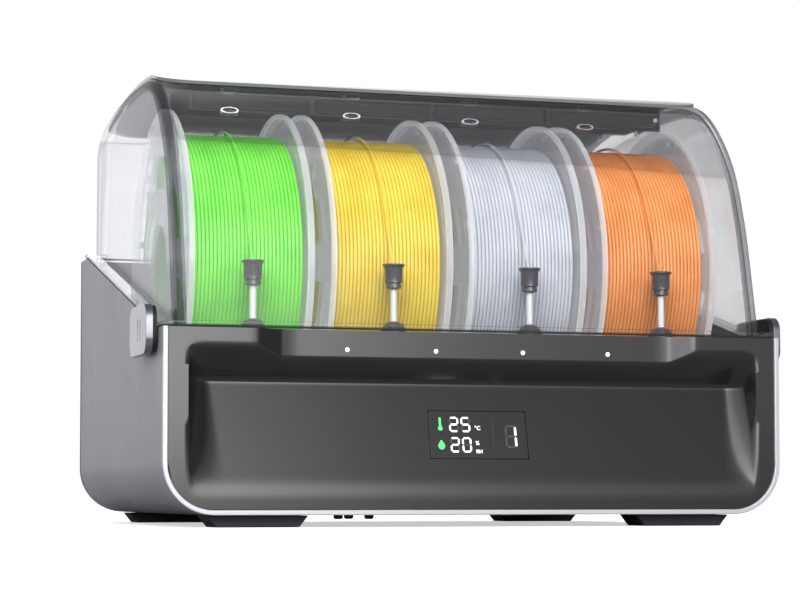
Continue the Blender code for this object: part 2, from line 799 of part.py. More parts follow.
def lid_shape(steps=2, edge_steps=3):
    """The clear lid: a thin dome, its foot turned out into a flange."""
    outer = lid_rows(0.0, FLANGE_TOP, steps, edge_steps)
    inner = lid_rows(LID_WALL, LID_FOOT, steps, edge_steps)
    loops = [rim_loop(outer, FLANGE_TOP)]
    loops.append(flange_loop(loops[0], edge_steps, FLANGE_TOP))
    loops.append(flange_loop(loops[0], edge_steps, LID_FOOT))
    loops.append(rim_loop(inner, LID_FOOT))
    shape = bmesh.new()
    known = {}

    def corner(point):
        key = tuple(round(value, 7) for value in point)
        if key not in known:
            known[key] = shape.verts.new(point)
        return known[key]

    def face(points):
        corners = list(dict.fromkeys(corner(point) for point in points))
        if len(corners) > 2:
            shape.faces.new(corners)

    for rows in (outer, inner):
        for row, after in zip(rows, rows[1:]):
            for k in range(len(row) - 1):
                face((row[k], row[k + 1], after[k + 1], after[k]))
    for rows, loop in ((outer, loops[0]), (inner, loops[3])):
        count = len(rows)
        face(rows[0] + loop[-2:])
        face(list(reversed(rows[-1])) + loop[count : count + 2])
    for loop, after in zip(loops, loops[1:]):
        for k in range(len(loop)):
            n = (k + 1) % len(loop)
            face((loop[k], loop[n], after[n], after[k]))
    return shape


def cap_shape(steps=3):
    """The cap: a plate that follows the lid's roof."""
    line = [(at(deep), z) for deep, z in smooth_line(LID_OUTLINE, steps)]
    roof = [point for point in line if at(CAP_FRONT) <= point[0] <= at(CAP_REAR) and point[1] > 0.25]
    under = inset_line(roof, -GAP)
    upper = inset_line(roof, -GAP - CAP_THICK)
    return prism(upper + under[::-1], -CAP_HALF, CAP_HALF, "X")


def gasket_shape():
    """A soft strip on the casing's rim, under the lid's flange."""
    low, high = GAP, LID_FOOT - GAP
    front, rear = GASKET_DEEPS
    points = []
    for inset in (0.0, GASKET_WIDTH):
        half = HALF - GASKET_INSET - inset
        ys = [at(deep) for deep in (front + inset, SEAM_RISE_START, SEAM_RISE_END, rear - inset)]
        plan = [(-half, y) for y in ys] + [(half, y) for y in reversed(ys)]
        for height in (low, high):
            points += [(x, y, seam(y) + height) for x, y in plan]
    count = 8
    faces = []
    for k in range(count):
        n = (k + 1) % count
        for first, second in ((0, 1), (1, 3), (3, 2), (2, 0)):
            faces.append((first * count + k, first * count + n, second * count + n, second * count + k))
    return shape_of(points, faces)


def rail_shape():
    """The lid's half of the hinge: a leaf on the lid's rear wall, and a barrel round the rod."""
    radius = BARREL_RADIUS
    centre = at(HINGE_DEEP)
    leaf_front, leaf_rear = [at(deep) for deep in LEAF_DEEPS]
    outline = [(leaf_front, LEAF_TOP), (leaf_front, HINGE_Z)]
    for k in range(1, 12):
        angle = math.pi + math.pi * 1.25 * k / 11
        outline.append((centre + radius * math.cos(angle), HINGE_Z + radius * math.sin(angle)))
    outline += [(leaf_rear, HINGE_Z + radius), (leaf_rear, LEAF_TOP)]
    return prism(outline, -RAIL_HALF, RAIL_HALF, "X")


def tray_shape(steps=2):
    """The desiccant tray: an upright box under the roof, its underside hollowed round the spools."""
    line = [(at(deep), z) for deep, z in smooth_line(LID_OUTLINE, steps)]
    roof = inset_line(line, LID_WALL + TRAY_GAP)
    top = [point for point in roof if at(TRAY_FRONT) + GAP < point[0] < at(TRAY_REAR) - GAP]
    outline = [(at(TRAY_REAR), SPOOL_Z + TRAY_REACH)]
    widest = math.acos((TRAY_FRONT - SPOOL_DEEP) / TRAY_REACH) - math.pi / 2
    for k in range(TRAY_STEPS + 1):
        angle = math.pi / 2 + widest * k / TRAY_STEPS
        y = at(SPOOL_DEEP) + TRAY_REACH * math.cos(angle)
        outline.append((y, SPOOL_Z + TRAY_REACH * math.sin(angle)))
    outline.append((at(TRAY_FRONT), top[0][1] - TRAY_GAP))
    outline += top
    outline.append((at(TRAY_REAR), top[-1][1] - TRAY_GAP))
    return prism(outline, -TRAY_HALF, TRAY_HALF, "X")


def build_lid(looks):
    axis = (0.0, at(HINGE_DEEP), HINGE_Z)
    holder = pivot("lid_pivot", axis)
    hang(add("lid_shell", lid_shape(), looks["clear"], smooth=True), holder)
    hang(add("lid_cap", cap_shape(), looks["dark"], smooth=True), holder)
    hang(add("desiccant_tray", tray_shape(), looks["dark"]), holder)
    hang(add("lid_gasket", gasket_shape(), looks["rubber"]), holder)
    rail = add("lid_hinge_rail", rail_shape(), looks["dark"], smooth=True)
    bore = rod(ROD_RADIUS + GAP, -HALF, HALF, ROLLER_STEPS, "X")
    combine(rail, shifted(bore, y=axis[1], z=axis[2]), "DIFFERENCE", "bore")
    hang(rail, holder)
    length = RAIL_HALF + 0.010
    add("hinge_rod", rod(ROD_RADIUS, -length, length, 12, "X"), looks["steel"], axis, True)


def build_latches(looks):
    for name, side in (("left", -1), ("right", 1)):
        outline = rounded_rectangle((at(LATCH_DEEP), LATCH_Z), (LATCH_LENGTH, LATCH_HEIGHT), 0.007)
        low, high = sorted((side * LATCH_INNER, side * LATCH_OUTER))
        latch = add(f"latch_{name}", prism(outline, low, high, "X"), looks["shell"], smooth=True)
        hang(latch, pivot(f"latch_{name}_pivot", (side * LATCH_PIVOT[0], at(LATCH_DEEP), LATCH_PIVOT[1])))


# ---- Heating, electronics and feet ----


def build_fan(looks):
    half = FAN_SIZE / 2
    high = FAN_LOW + FAN_HEIGHT
    y = at(FAN_DEEP)
    frame = prism(rounded_rectangle((FAN_X, y), (FAN_SIZE, FAN_SIZE), 0.003, 2), FAN_LOW, high, "Z")
    made = add("fan_frame", frame, looks["dark"])
    hole = shifted(rod(0.0185, FAN_LOW - 0.002, high + 0.002, 24, "Z"), x=FAN_X, y=y)
    combine(made, hole, "DIFFERENCE", "hole")
    reach = half - GAP
    bar = box((FAN_X - 0.003, y - reach, FAN_LOW), (FAN_X + 0.003, y + reach, FAN_LOW + 0.002))
    combine(made, bar, "UNION", "spoke")

    blades, hub, tip, share = 7, 0.007, 0.0175, 0.35
    outline = []
    for k in range(blades):
        start = 2 * math.pi * k / blades
        wide = 2 * math.pi / blades * share
        end = start + wide
        for radius, angle in ((hub, start), (tip, start + wide * 0.2), (tip, end), (hub, end)):
            outline.append((radius * math.cos(angle), radius * math.sin(angle)))
    add("fan_rotor", prism(outline, 0.0026, 0.0094, "Z"), looks["dark"], (FAN_X, y, FAN_LOW))


def build_heater(looks):
    """Finned heater over the fan: upright fins on a solid core bar."""
    fins, half, thick = 9, 0.019, 0.0012
    pitch = (2 * half - thick) / (fins - 1)
    low, core, high = 0.0215, 0.0300, 0.0480
    outline = [(-half, low)]
    outline.append((half, low))
    for k in range(fins - 1, -1, -1):
        left = -half + k * pitch
        outline += [(left + thick, high), (left, high)]
        if k:
            outline += [(left, core), (left - pitch + thick, core)]
    outline = [(FAN_X + x, z) for x, z in outline]
    y = at(FAN_DEEP)
    add("heater_block", prism(outline, y - 0.019, y + 0.019, "Y"), looks["aluminium"])


def build_board(looks):
    """Main circuit board with its chips, plugs and four legs."""
    low, high = BOARD_LOW, BOARD_HIGH
    board = add("main_board", box(low, high), looks["circuit"])
    items = []
    for x in (low[0] + 0.004, high[0] - 0.010):
        for y in (low[1] + 0.004, high[1] - 0.010):
            foot = (x, y, BOARD_LEG_LOW)
            items.append(box(foot, (x + BOARD_LEG, y + BOARD_LEG, low[2] + 0.0002)))
    for x, y, size, tall in BOARD_PARTS:
        corner = (low[0] + x, low[1] + y, high[2] - GAP)
        items.append(box(corner, (corner[0] + size, corner[1] + size, corner[2] + tall)))
    combine(board, merged(items), "UNION", "components")


def build_rear_fittings(looks):
    deep, end = SOCKET_DEEPS
    outline = rounded_rectangle((SOCKET_X, REAR_Z), SOCKET_SIZE, 0.002)
    socket = add("cable_socket", prism(outline, at(deep), at(end), "Y"), looks["dark"])
    opening = rounded_rectangle((SOCKET_X, REAR_Z), SOCKET_MOUTH, 0.0015)
    combine(socket, prism(opening, at(end - 0.012), at(end + 0.01), "Y"), "DIFFERENCE", "mouth")
    fitting = turned(OUTLET_PROFILE, ROLLER_STEPS, "Y")
    add("outlet_fitting", fitting, looks["dark"], (OUTLET_X, at(OUTLET_DEEP), REAR_Z), True)


def build_feet(looks):
    top = BODY_BOTTOM - GAP
    half = FOOT_TOP_WIDTH / 2
    for row, deep in FOOT_DEEPS.items():
        for name, side in (("left", -1), ("right", 1)):
            x = side * FOOT_X
            sole = half - FOOT_TAPER
            outline = ((x - half, top), (x - sole, 0.0), (x + sole, 0.0), (x + half, top))
            foot = prism(outline, at(deep), at(deep + FOOT_LENGTH), "Y")
            add(f"foot_{row}_{name}", foot, looks["dark"])


def make_looks():
    looks = {
        "shell": finish("shell_grey", (0.20, 0.20, 0.23), 0.45),
        "trim": finish("trim_silver", (0.78, 0.79, 0.81), 0.25, 0.6),
        "panel": finish("panel_black", (0.030, 0.031, 0.033), 0.25),
        "dark": finish("dark_plastic", (0.035, 0.036, 0.040), 0.45),
        "tub": finish("tub_grey", (0.10, 0.10, 0.11), 0.55),
        "glass": finish("display_glass", (0.010, 0.010, 0.012), 0.08),
        "circuit": finish("circuit_board", (0.02, 0.16, 0.07), 0.5),
        "lens": finish("lens_white", (0.9, 0.92, 0.95), 0.3),
        "clear": finish("clear_plastic", (0.86, 0.88, 0.90), 0.06, 0.0, 0.25),
        "steel": finish("steel", (0.62, 0.62, 0.64), 0.25, 1.0),
        "aluminium": finish("heater_aluminium", (0.72, 0.73, 0.75), 0.35, 1.0),
        "rubber": finish("rubber_black", (0.02, 0.02, 0.022), 0.7),
        "tube": finish("tube_white", (0.85, 0.86, 0.88), 0.35),
    }
    colours = ((0.10, 0.80, 0.06), (0.95, 0.66, 0.03), (0.62, 0.65, 0.72), (0.90, 0.30, 0.07))
    for number, colour in enumerate(colours, start=1):
        looks[f"filament_{number}"] = finish(f"filament_{number}", colour, 0.35)
    return looks


def main():
    clear_scene()
    looks = make_looks()
    build_casing(looks)
    build_front(looks)
    build_tub(looks)
    build_rollers(looks)
    build_spools(looks)
    build_inlets(looks)
    build_lid(looks)
    build_latches(looks)
    build_fan(looks)
    build_heater(looks)
    build_board(looks)
    build_rear_fittings(looks)
    build_feet(looks)


main()
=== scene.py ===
"""Looks of the four-spool filament dryer box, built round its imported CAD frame. Metres, +Z up."""

import math

import bmesh
import bpy
from mathutils import Matrix, Vector


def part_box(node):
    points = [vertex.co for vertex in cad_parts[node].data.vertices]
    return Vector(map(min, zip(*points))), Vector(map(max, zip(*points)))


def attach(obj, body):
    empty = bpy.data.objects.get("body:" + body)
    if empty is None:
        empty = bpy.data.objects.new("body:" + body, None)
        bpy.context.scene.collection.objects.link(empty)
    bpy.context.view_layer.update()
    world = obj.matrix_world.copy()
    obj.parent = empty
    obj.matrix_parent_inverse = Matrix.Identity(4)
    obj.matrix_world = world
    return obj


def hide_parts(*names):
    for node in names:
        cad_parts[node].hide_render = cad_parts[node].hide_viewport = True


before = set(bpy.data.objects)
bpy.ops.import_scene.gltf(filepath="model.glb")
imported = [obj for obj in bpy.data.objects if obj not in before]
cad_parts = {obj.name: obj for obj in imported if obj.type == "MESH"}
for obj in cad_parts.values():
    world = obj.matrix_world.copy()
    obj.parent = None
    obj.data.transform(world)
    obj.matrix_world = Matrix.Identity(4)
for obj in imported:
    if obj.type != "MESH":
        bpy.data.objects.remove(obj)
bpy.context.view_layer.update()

# ---- Places and sizes, read from the frame ----

TRIM_LOW, TRIM_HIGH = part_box("front_trim")
HALF = TRIM_HIGH.x
FRONT = TRIM_LOW.y
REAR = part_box("rear_cover")[1].y
BODY_BOTTOM = TRIM_LOW.z
SEAM_FRONT = TRIM_HIGH.z
SEAM_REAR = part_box("outer_shell")[1].z
TRIM_DEPTH = TRIM_HIGH.y - TRIM_LOW.y
TRIM_WIDTH = 0.003
CORNER_RADIUS = 0.030
SHELL_WALL = 0.0025
SEAM_RISE_START = 0.026
SEAM_RISE_END = 0.292
GAP = 0.0003

SPOOL_LOW, SPOOL_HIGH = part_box("spool_1")
SPOOL_RADIUS = (SPOOL_HIGH.z - SPOOL_LOW.z) / 2
SPOOL_HALF = (SPOOL_HIGH.x - SPOOL_LOW.x) / 2
SPOOL_Y = (SPOOL_LOW.y + SPOOL_HIGH.y) / 2
SPOOL_Z = (SPOOL_LOW.z + SPOOL_HIGH.z) / 2
SPOOLS = [(n, sum(corner.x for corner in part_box(f"spool_{n}")) / 2) for n in range(1, 5)]
WINDING_RADIUS = (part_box("winding_1")[1].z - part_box("winding_1")[0].z) / 2
FLANGE_THICK = 0.0025
CORE_OUTER = 0.041
CORE_INNER = 0.038
BORE_RADIUS = 0.027
FLANGE_HOLE_RING = 0.0915
FLANGE_HOLE_RADIUS = 0.0022
FLANGE_SLOT_OUTER = 0.070
FLANGE_SLOT_INNER = 0.050
STRAND_RADIUS = 0.000875
STRAND_START = math.radians(84)
WINDING_TURNS = 29

PANEL_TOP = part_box("front_panel")[1].z
PANEL_FACE = 0.001
PANEL_THICK = 0.0025
PANEL_BACK = 0.0102
PANEL_BACK_LOW = 0.111
NOTCH_DEPTH = 0.0055
NOTCH_INNER = 0.1199
NOTCH_OUTER = 0.1345
RECESS_TOP = 0.103
RECESS_CREASE = 0.0845
RECESS_FOOT = 0.0225
RECESS_DEPTH = 0.0165
RECESS_END_OUTER = 0.1737

WINDOW_LOW, WINDOW_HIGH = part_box("display_window")
WINDOW_Z = (WINDOW_LOW.z + WINDOW_HIGH.z) / 2
LIGHT_Z = 0.1025
LIGHT_PITCH = 0.0537
LIGHT_FACE = 0.00652

REAR_COVER_FRONT = 0.3093
KNUCKLE_RADIUS = 0.0034

DECK_TOP = 0.1135
FUNNEL_LOW, FUNNEL_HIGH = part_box("inlet_funnel_1")
INLET_Y = (FUNNEL_LOW.y + FUNNEL_HIGH.y) / 2

LID_WALL = 0.0022
LID_HALF = HALF - 0.0076
LID_DRAFT = 0.003
LID_EDGE = 0.006
LID_FOOT = 0.0016
FLANGE_TOP = 0.0036
FLANGE_EDGE = 0.0045
FLANGE_FRONT = 0.0015
FLANGE_REAR = 0.3032
LID_OUTLINE = (
    (0.0090, 0.1180),
    (0.0150, 0.1437),
    (0.0265, 0.1885),
    (0.0435, 0.2272),
    (0.0735, 0.2590),
    (0.1050, 0.2726),
    (0.1500, 0.2763),
    (0.2000, 0.2757),
    (0.2500, 0.2722),
    (0.2860, 0.2655),
    (0.3000, 0.2555),
    (0.3030, 0.2385),
    (0.3030, 0.1836),
)
LID_CROWN = 0.2763
CAP_THICK = 0.002
CAP_FRONT = 0.088
CAP_REAR = 0.290
CAP_HALF = 0.1765
CAP_CORNER = (0.022, 0.010)
# Depth where the painted shade on the lid's rounded edges ends.
EDGE_SHADE_REAR = 0.200
TRAY_LOW, TRAY_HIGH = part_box("desiccant_tray")
TRAY_GAP = 0.0005
TRAY_REACH = 0.1010
ROOF_START = 0.088
ROOF_LOW = 0.262

CAMERA_PLACE = (-0.4272, -1.4459, 0.0183)
CAMERA_TILT = math.radians(90 + 2.89)
CAMERA_TURN = math.radians(-16.32)
CAMERA_LENS = 104.5
CAMERA_SHIFT = (-0.0019, 0.0978)
FLOOR_HALF = 12.0


def at(deep):
    """World Y of a depth behind the front plane."""
    return FRONT + deep


def clamp(value):
    return min(1.0, max(0.0, value))


def seam(y):
    share = clamp((y - at(SEAM_RISE_START)) / (SEAM_RISE_END - SEAM_RISE_START))
    return SEAM_FRONT + (SEAM_REAR - SEAM_FRONT) * share


# ---- Camera, floor and light ----


def new_object(name, data):
    made = bpy.data.objects.new(name, data)
    bpy.context.scene.collection.objects.link(made)
    return made


def build_camera():
    data = bpy.data.cameras.new("camera")
    data.lens = CAMERA_LENS
    data.sensor_width = 36.0
    data.shift_x, data.shift_y = CAMERA_SHIFT
    data.clip_start = 0.01
    camera = new_object("camera", data)
    camera.location = CAMERA_PLACE
    camera.rotation_euler = (CAMERA_TILT, 0.0, CAMERA_TURN)
    bpy.context.scene.camera = camera


def build_floor():
    """A pale floor to the camera, dimmer to the light that it throws back on the box."""
    shape = bmesh.new()
    bmesh.ops.create_grid(shape, x_segments=1, y_segments=1, size=FLOOR_HALF)
    mesh = bpy.data.meshes.new("floor")
    shape.to_mesh(mesh)
    shape.free()
    look = bpy.data.materials.new("floor_white")
    nodes = Nodes(look)
    nodes.surface(
        Base_Color=(0.92, 0.92, 0.93, 1.0), Roughness=0.7, Specular_IOR_Level=0.1,
        Emission_Color=(1.0, 1.0, 1.0, 1.0), Emission_Strength=0.56,
    )
    dim = nodes.add("ShaderNodeBsdfDiffuse", Color=(0.30, 0.30, 0.32, 1.0))
    seen = nodes.add("ShaderNodeLightPath").outputs["Is Camera Ray"]
    nodes.join(nodes.mix(seen, dim, nodes.shader).outputs[0], nodes.output.inputs["Surface"])
    mesh.materials.append(look)
    new_object("floor", mesh)


def area_light(name, location, target, size, power):
    """A soft card that lights the box but is not mirrored in it."""
    data = bpy.data.lights.new(name, "AREA")
    data.shape = "RECTANGLE"
    data.size, data.size_y = size
    data.energy = power
    lamp = new_object(name, data)
    lamp.location = location
    lamp.rotation_mode = "QUATERNION"
    lamp.rotation_quaternion = (Vector(target) - Vector(location)).to_track_quat("-Z", "Y")
    lamp.visible_glossy = False


def ramp_of(tree, stops):
    """A colour ramp node with grey stops."""
    ramp = tree.nodes.new("ShaderNodeValToRGB")
    for position, grey in stops[1:-1]:
        ramp.color_ramp.elements.new(position).color = (grey, grey, grey, 1.0)
    ends = (ramp.color_ramp.elements[0], ramp.color_ramp.elements[-1])
    for item, (position, grey) in zip(ends, (stops[0], stops[-1])):
        item.position = position
        item.color = (grey, grey, grey, 1.0)
    return ramp


# Brightness of the mirrored room by bearing: rear 0, left 0.25, front 0.5, right 0.75, rear 1
MIRRORED_AROUND = (
    (0.0, 0.20), (0.05, 0.12), (0.25, 0.10), (0.42, 0.45), (0.50, 0.90), (0.530, 1.0), (0.542, 0.52),
    (0.551, 0.24), (0.60, 0.04), (0.80, 0.03), (0.925, 0.10), (0.972, 0.50), (1.0, 0.30),
)
# Brightness of the mirrored room from straight down to straight up
MIRRORED_HEIGHT = (
    (0.0, 0.16), (0.48, 0.25), (0.515, 1.0), (0.60, 1.0), (0.74, 0.62), (0.82, 0.22), (1.0, 0.14),
)
WHITE = (1.0, 1.0, 1.0, 1.0)


def build_world():
    """White to the camera; a soft room to mirrors, bright at front left and dark at front right."""
    world = bpy.data.worlds.new("studio")
    nodes = Nodes(world)
    nodes.tree.nodes.clear()
    split = nodes.add("ShaderNodeSeparateXYZ")
    nodes.join(nodes.add("ShaderNodeTexCoord").outputs["Generated"], split.inputs["Vector"])
    ahead = nodes.number("MULTIPLY", split.outputs["Y"], -1.0)
    bearing = nodes.number("ARCTAN2", split.outputs["X"])
    nodes.join(ahead.outputs[0], bearing.inputs[1])
    turn = nodes.add("ShaderNodeMapRange", From_Min=-math.pi, From_Max=math.pi)
    nodes.join(bearing.outputs[0], turn.inputs["Value"])
    around = ramp_of(nodes.tree, MIRRORED_AROUND)
    nodes.join(turn.outputs["Result"], around.inputs["Fac"])
    lift = nodes.add("ShaderNodeMapRange", From_Min=-1.0)
    nodes.join(split.outputs["Z"], lift.inputs["Value"])
    height = ramp_of(nodes.tree, MIRRORED_HEIGHT)
    nodes.join(lift.outputs["Result"], height.inputs["Fac"])
    both = nodes.add("ShaderNodeMix", data_type="RGBA", blend_type="MULTIPLY")
    both.inputs["Factor"].default_value = 1.0
    nodes.join(around.outputs["Color"], both.inputs["A"])
    nodes.join(height.outputs["Color"], both.inputs["B"])
    mirrored = nodes.add("ShaderNodeBackground", Strength=6.5)
    nodes.join(both.outputs["Result"], mirrored.inputs["Color"])
    fill = nodes.add("ShaderNodeBackground", Color=WHITE, Strength=0.55)
    seen = nodes.add("ShaderNodeBackground", Color=WHITE, Strength=1.02)
    path = nodes.add("ShaderNodeLightPath")
    lit = nodes.mix(path.outputs["Is Glossy Ray"], fill, mirrored)
    final = nodes.mix(path.outputs["Is Camera Ray"], lit, seen)
    output = nodes.add("ShaderNodeOutputWorld")
    nodes.join(final.outputs[0], output.inputs["Surface"])
    bpy.context.scene.world = world
    bpy.context.scene.view_settings.view_transform = "Standard"


def build_lights():
    area_light("key_card", (-0.5, -2.4, 1.3), (0.0, 0.0, 0.15), (1.6, 1.6), 62.0)
    area_light("top_card", (0.1, 0.2, 2.2), (0.0, 0.0, 0.1), (1.8, 1.4), 20.0)
    area_light("side_card", (-2.4, -0.2, 1.0), (-0.1, 0.0, 0.12), (1.6, 1.4), 6.0)
    area_light("rear_card", (0.6, 2.2, 0.9), (0.0, 0.0, 0.15), (2.0, 1.2), 16.0)


# ---- Materials ----


class Nodes:
    """A short way to add and join the nodes of a material or of the world."""

    def __init__(self, owner):
        owner.use_nodes = True
        self.tree = owner.node_tree
        self.shader = self.tree.nodes.get("Principled BSDF")
        self.output = self.tree.nodes.get("Material Output")

    def surface(self, **values):
        """Set values of the main shader, with an underscore for each space in a name."""
        for key, value in values.items():
            self.shader.inputs[key.replace("_", " ")].default_value = value

    def add(self, kind, **values):
        node = self.tree.nodes.new(kind)
        for key, value in values.items():
            key = key.replace("_", " ")
            if key in node.inputs:
                node.inputs[key].default_value = value
            else:
                setattr(node, key.replace(" ", "_"), value)
        return node

    def join(self, start, end):
        self.tree.links.new(start, end)

    def number(self, operation, first, second=0.5):
        node = self.add("ShaderNodeMath", operation=operation)
        self.join(first, node.inputs[0])
        node.inputs[1].default_value = second
        return node

    def mix(self, share, first, second):
        """Shaders mixed: all of the first at 0, all of the second at 1."""
        node = self.add("ShaderNodeMixShader")
        self.join(share, node.inputs["Fac"])
        self.join(first.outputs[0], node.inputs[1])
        self.join(second.outputs[0], node.inputs[2])
        return node

    def noise(self, scale, detail=3.0, stretch=(1.0, 1.0, 1.0)):
        place = self.add("ShaderNodeTexCoord")
        mapping = self.add("ShaderNodeMapping")
        mapping.inputs["Scale"].default_value = stretch
        texture = self.add("ShaderNodeTexNoise", Scale=scale, Detail=detail)
        self.join(place.outputs["Object"], mapping.inputs["Vector"])
        self.join(mapping.outputs["Vector"], texture.inputs["Vector"])
        return texture.outputs["Fac"]

    def ramp(self, factor, low, high, start=0.3, end=0.7):
        node = self.add("ShaderNodeValToRGB")
        first, last = node.color_ramp.elements
        first.position, last.position = start, end
        first.color, last.color = (*low, 1.0), (*high, 1.0)
        self.join(factor, node.inputs["Fac"])
        return node.outputs["Color"]

    def span(self, factor, low, high):
        node = self.add("ShaderNodeMapRange", To_Min=low, To_Max=high)
        self.join(factor, node.inputs["Value"])
        return node.outputs["Result"]

    def bump(self, height, strength, distance):
        node = self.add("ShaderNodeBump", Strength=strength, Distance=distance)
        self.join(height, node.inputs["Height"])
        self.join(node.outputs["Normal"], self.shader.inputs["Normal"])


def moulded(name, colour, roughness, grain=900.0, grain_strength=0.12, spread=0.05, coat=0.0, metallic=0.0):
    """Moulded plastic: a fine spark-eroded grain, faint colour drift and a little uneven gloss."""
    material = bpy.data.materials.new(name)
    nodes = Nodes(material)
    drift = nodes.noise(14.0, 2.0)
    low = tuple(max(0.0, value * (1 - spread)) for value in colour)
    high = tuple(min(1.0, value * (1 + spread)) for value in colour)
    nodes.join(nodes.ramp(drift, low, high), nodes.shader.inputs["Base Color"])
    handled = nodes.noise(38.0, 4.0)
    nodes.join(nodes.span(handled, roughness * 0.88, roughness * 1.12), nodes.shader.inputs["Roughness"])
    nodes.surface(Metallic=metallic, Coat_Weight=coat, Coat_Roughness=0.08)
    nodes.bump(nodes.noise(grain, 2.0), grain_strength, 0.0002)
    return material


def brushed(name, colour, roughness, stretch):
    """Metal with fine lines along one axis."""
    material = bpy.data.materials.new(name)
    nodes = Nodes(material)
    lines = nodes.noise(260.0, 4.0, stretch)
    low = tuple(value * 0.88 for value in colour)
    nodes.join(nodes.ramp(lines, low, colour), nodes.shader.inputs["Base Color"])
    nodes.join(nodes.span(lines, roughness * 0.7, roughness * 1.3), nodes.shader.inputs["Roughness"])
    nodes.surface(Metallic=1.0)
    nodes.bump(lines, 0.08, 0.0002)
    return material


def clear(name, tint, edge_tint, haze, edge_power, gloss, shine, painted_glow=0.0):
    """Thin clear plastic: see-through straight on, darker and shinier at its edges, with a faint haze that
    may carry a painted glow.
    """
    material = bpy.data.materials.new(name)
    nodes = Nodes(material)
    facing = nodes.add("ShaderNodeLayerWeight", Blend=0.5)
    power = nodes.number("POWER", facing.outputs["Facing"], edge_power)
    through = nodes.add("ShaderNodeBsdfTransparent")
    nodes.join(nodes.ramp(power.outputs[0], tint, edge_tint, 0.0, 1.0), through.inputs["Color"])
    fresnel = nodes.add("ShaderNodeFresnel", IOR=1.45)
    less = nodes.number("MULTIPLY", fresnel.outputs[0], shine)
    scratch = nodes.noise(60.0, 5.0)
    mirror = nodes.add("ShaderNodeBsdfGlossy", Color=(0.9, 0.91, 0.93, 1.0))
    nodes.join(nodes.span(scratch, gloss * 0.6, gloss * 1.6), mirror.inputs["Roughness"])
    sheen = nodes.mix(less.outputs[0], through, mirror)
    # Painted light: the haze film can give off a faint pale glow, lightening the plastic though it is no
    # lamp.
    nodes.surface(
        Base_Color=(0.93, 0.94, 0.96, 1.0), Roughness=0.3, Emission_Color=(0.95, 0.96, 1.0, 1.0),
        Emission_Strength=painted_glow,
    )
    hazed = nodes.span(power.outputs[0], haze, min(1.0, haze * 2 + 0.02))
    film = nodes.mix(hazed, sheen, nodes.shader)
    nodes.join(film.outputs[0], nodes.output.inputs["Surface"])
    return material


def filament(name, colour, shade):
    """Glossy slightly translucent filament, its base colour darkened in the grooves between its turns as
    painted shade.
    """
    material = bpy.data.materials.new(name)
    nodes = Nodes(material)
    drift = nodes.noise(45.0, 3.0)
    surface = nodes.ramp(drift, shade, colour, 0.2, 0.6)
    place = nodes.add("ShaderNodeTexCoord")
    across = nodes.add("ShaderNodeVectorMath", operation="MULTIPLY")
    across.inputs[1].default_value = (0.0, 1.0, 1.0)
    nodes.join(place.outputs["Object"], across.inputs[0])
    radius = nodes.add("ShaderNodeVectorMath", operation="LENGTH")
    nodes.join(across.outputs["Vector"], radius.inputs[0])
    # Painted shade: the colour darkens in a band below the winding's crown, darkest at the groove bottoms.
    depth = nodes.add("ShaderNodeMapRange", From_Min=WINDING_RADIUS - 0.006, From_Max=WINDING_RADIUS)
    nodes.join(radius.outputs["Value"], depth.inputs["Value"])
    painted_groove_shade = ramp_of(nodes.tree, ((0.0, 1.0), (0.60, 1.0), (0.66, 0.42), (0.80, 1.0), (1.0, 1.0)))
    nodes.join(depth.outputs["Result"], painted_groove_shade.inputs["Fac"])
    groove_shaded_colour = nodes.add("ShaderNodeVectorMath", operation="SCALE")
    nodes.join(surface, groove_shaded_colour.inputs[0])
    nodes.join(painted_groove_shade.outputs["Color"], groove_shaded_colour.inputs["Scale"])
    nodes.join(groove_shaded_colour.outputs["Vector"], nodes.shader.inputs["Base Color"])
    nodes.join(nodes.span(nodes.noise(120.0, 2.0), 0.28, 0.42), nodes.shader.inputs["Roughness"])
    nodes.surface(
        Subsurface_Weight=0.08, Subsurface_Radius=(0.0006, 0.0006, 0.0006), Subsurface_Scale=1.0,
        Coat_Weight=0.25, Coat_Roughness=0.15,
    )
    nodes.bump(nodes.noise(600.0, 2.0), 0.05, 0.0001)
    return material


def glowing(name, colour, strength):
    material = bpy.data.materials.new(name)
    nodes = Nodes(material)
    nodes.surface(
        Base_Color=(*(0.4 * value for value in colour), 1.0), Roughness=0.4,
        Emission_Color=(*colour, 1.0), Emission_Strength=strength,
    )
    return material


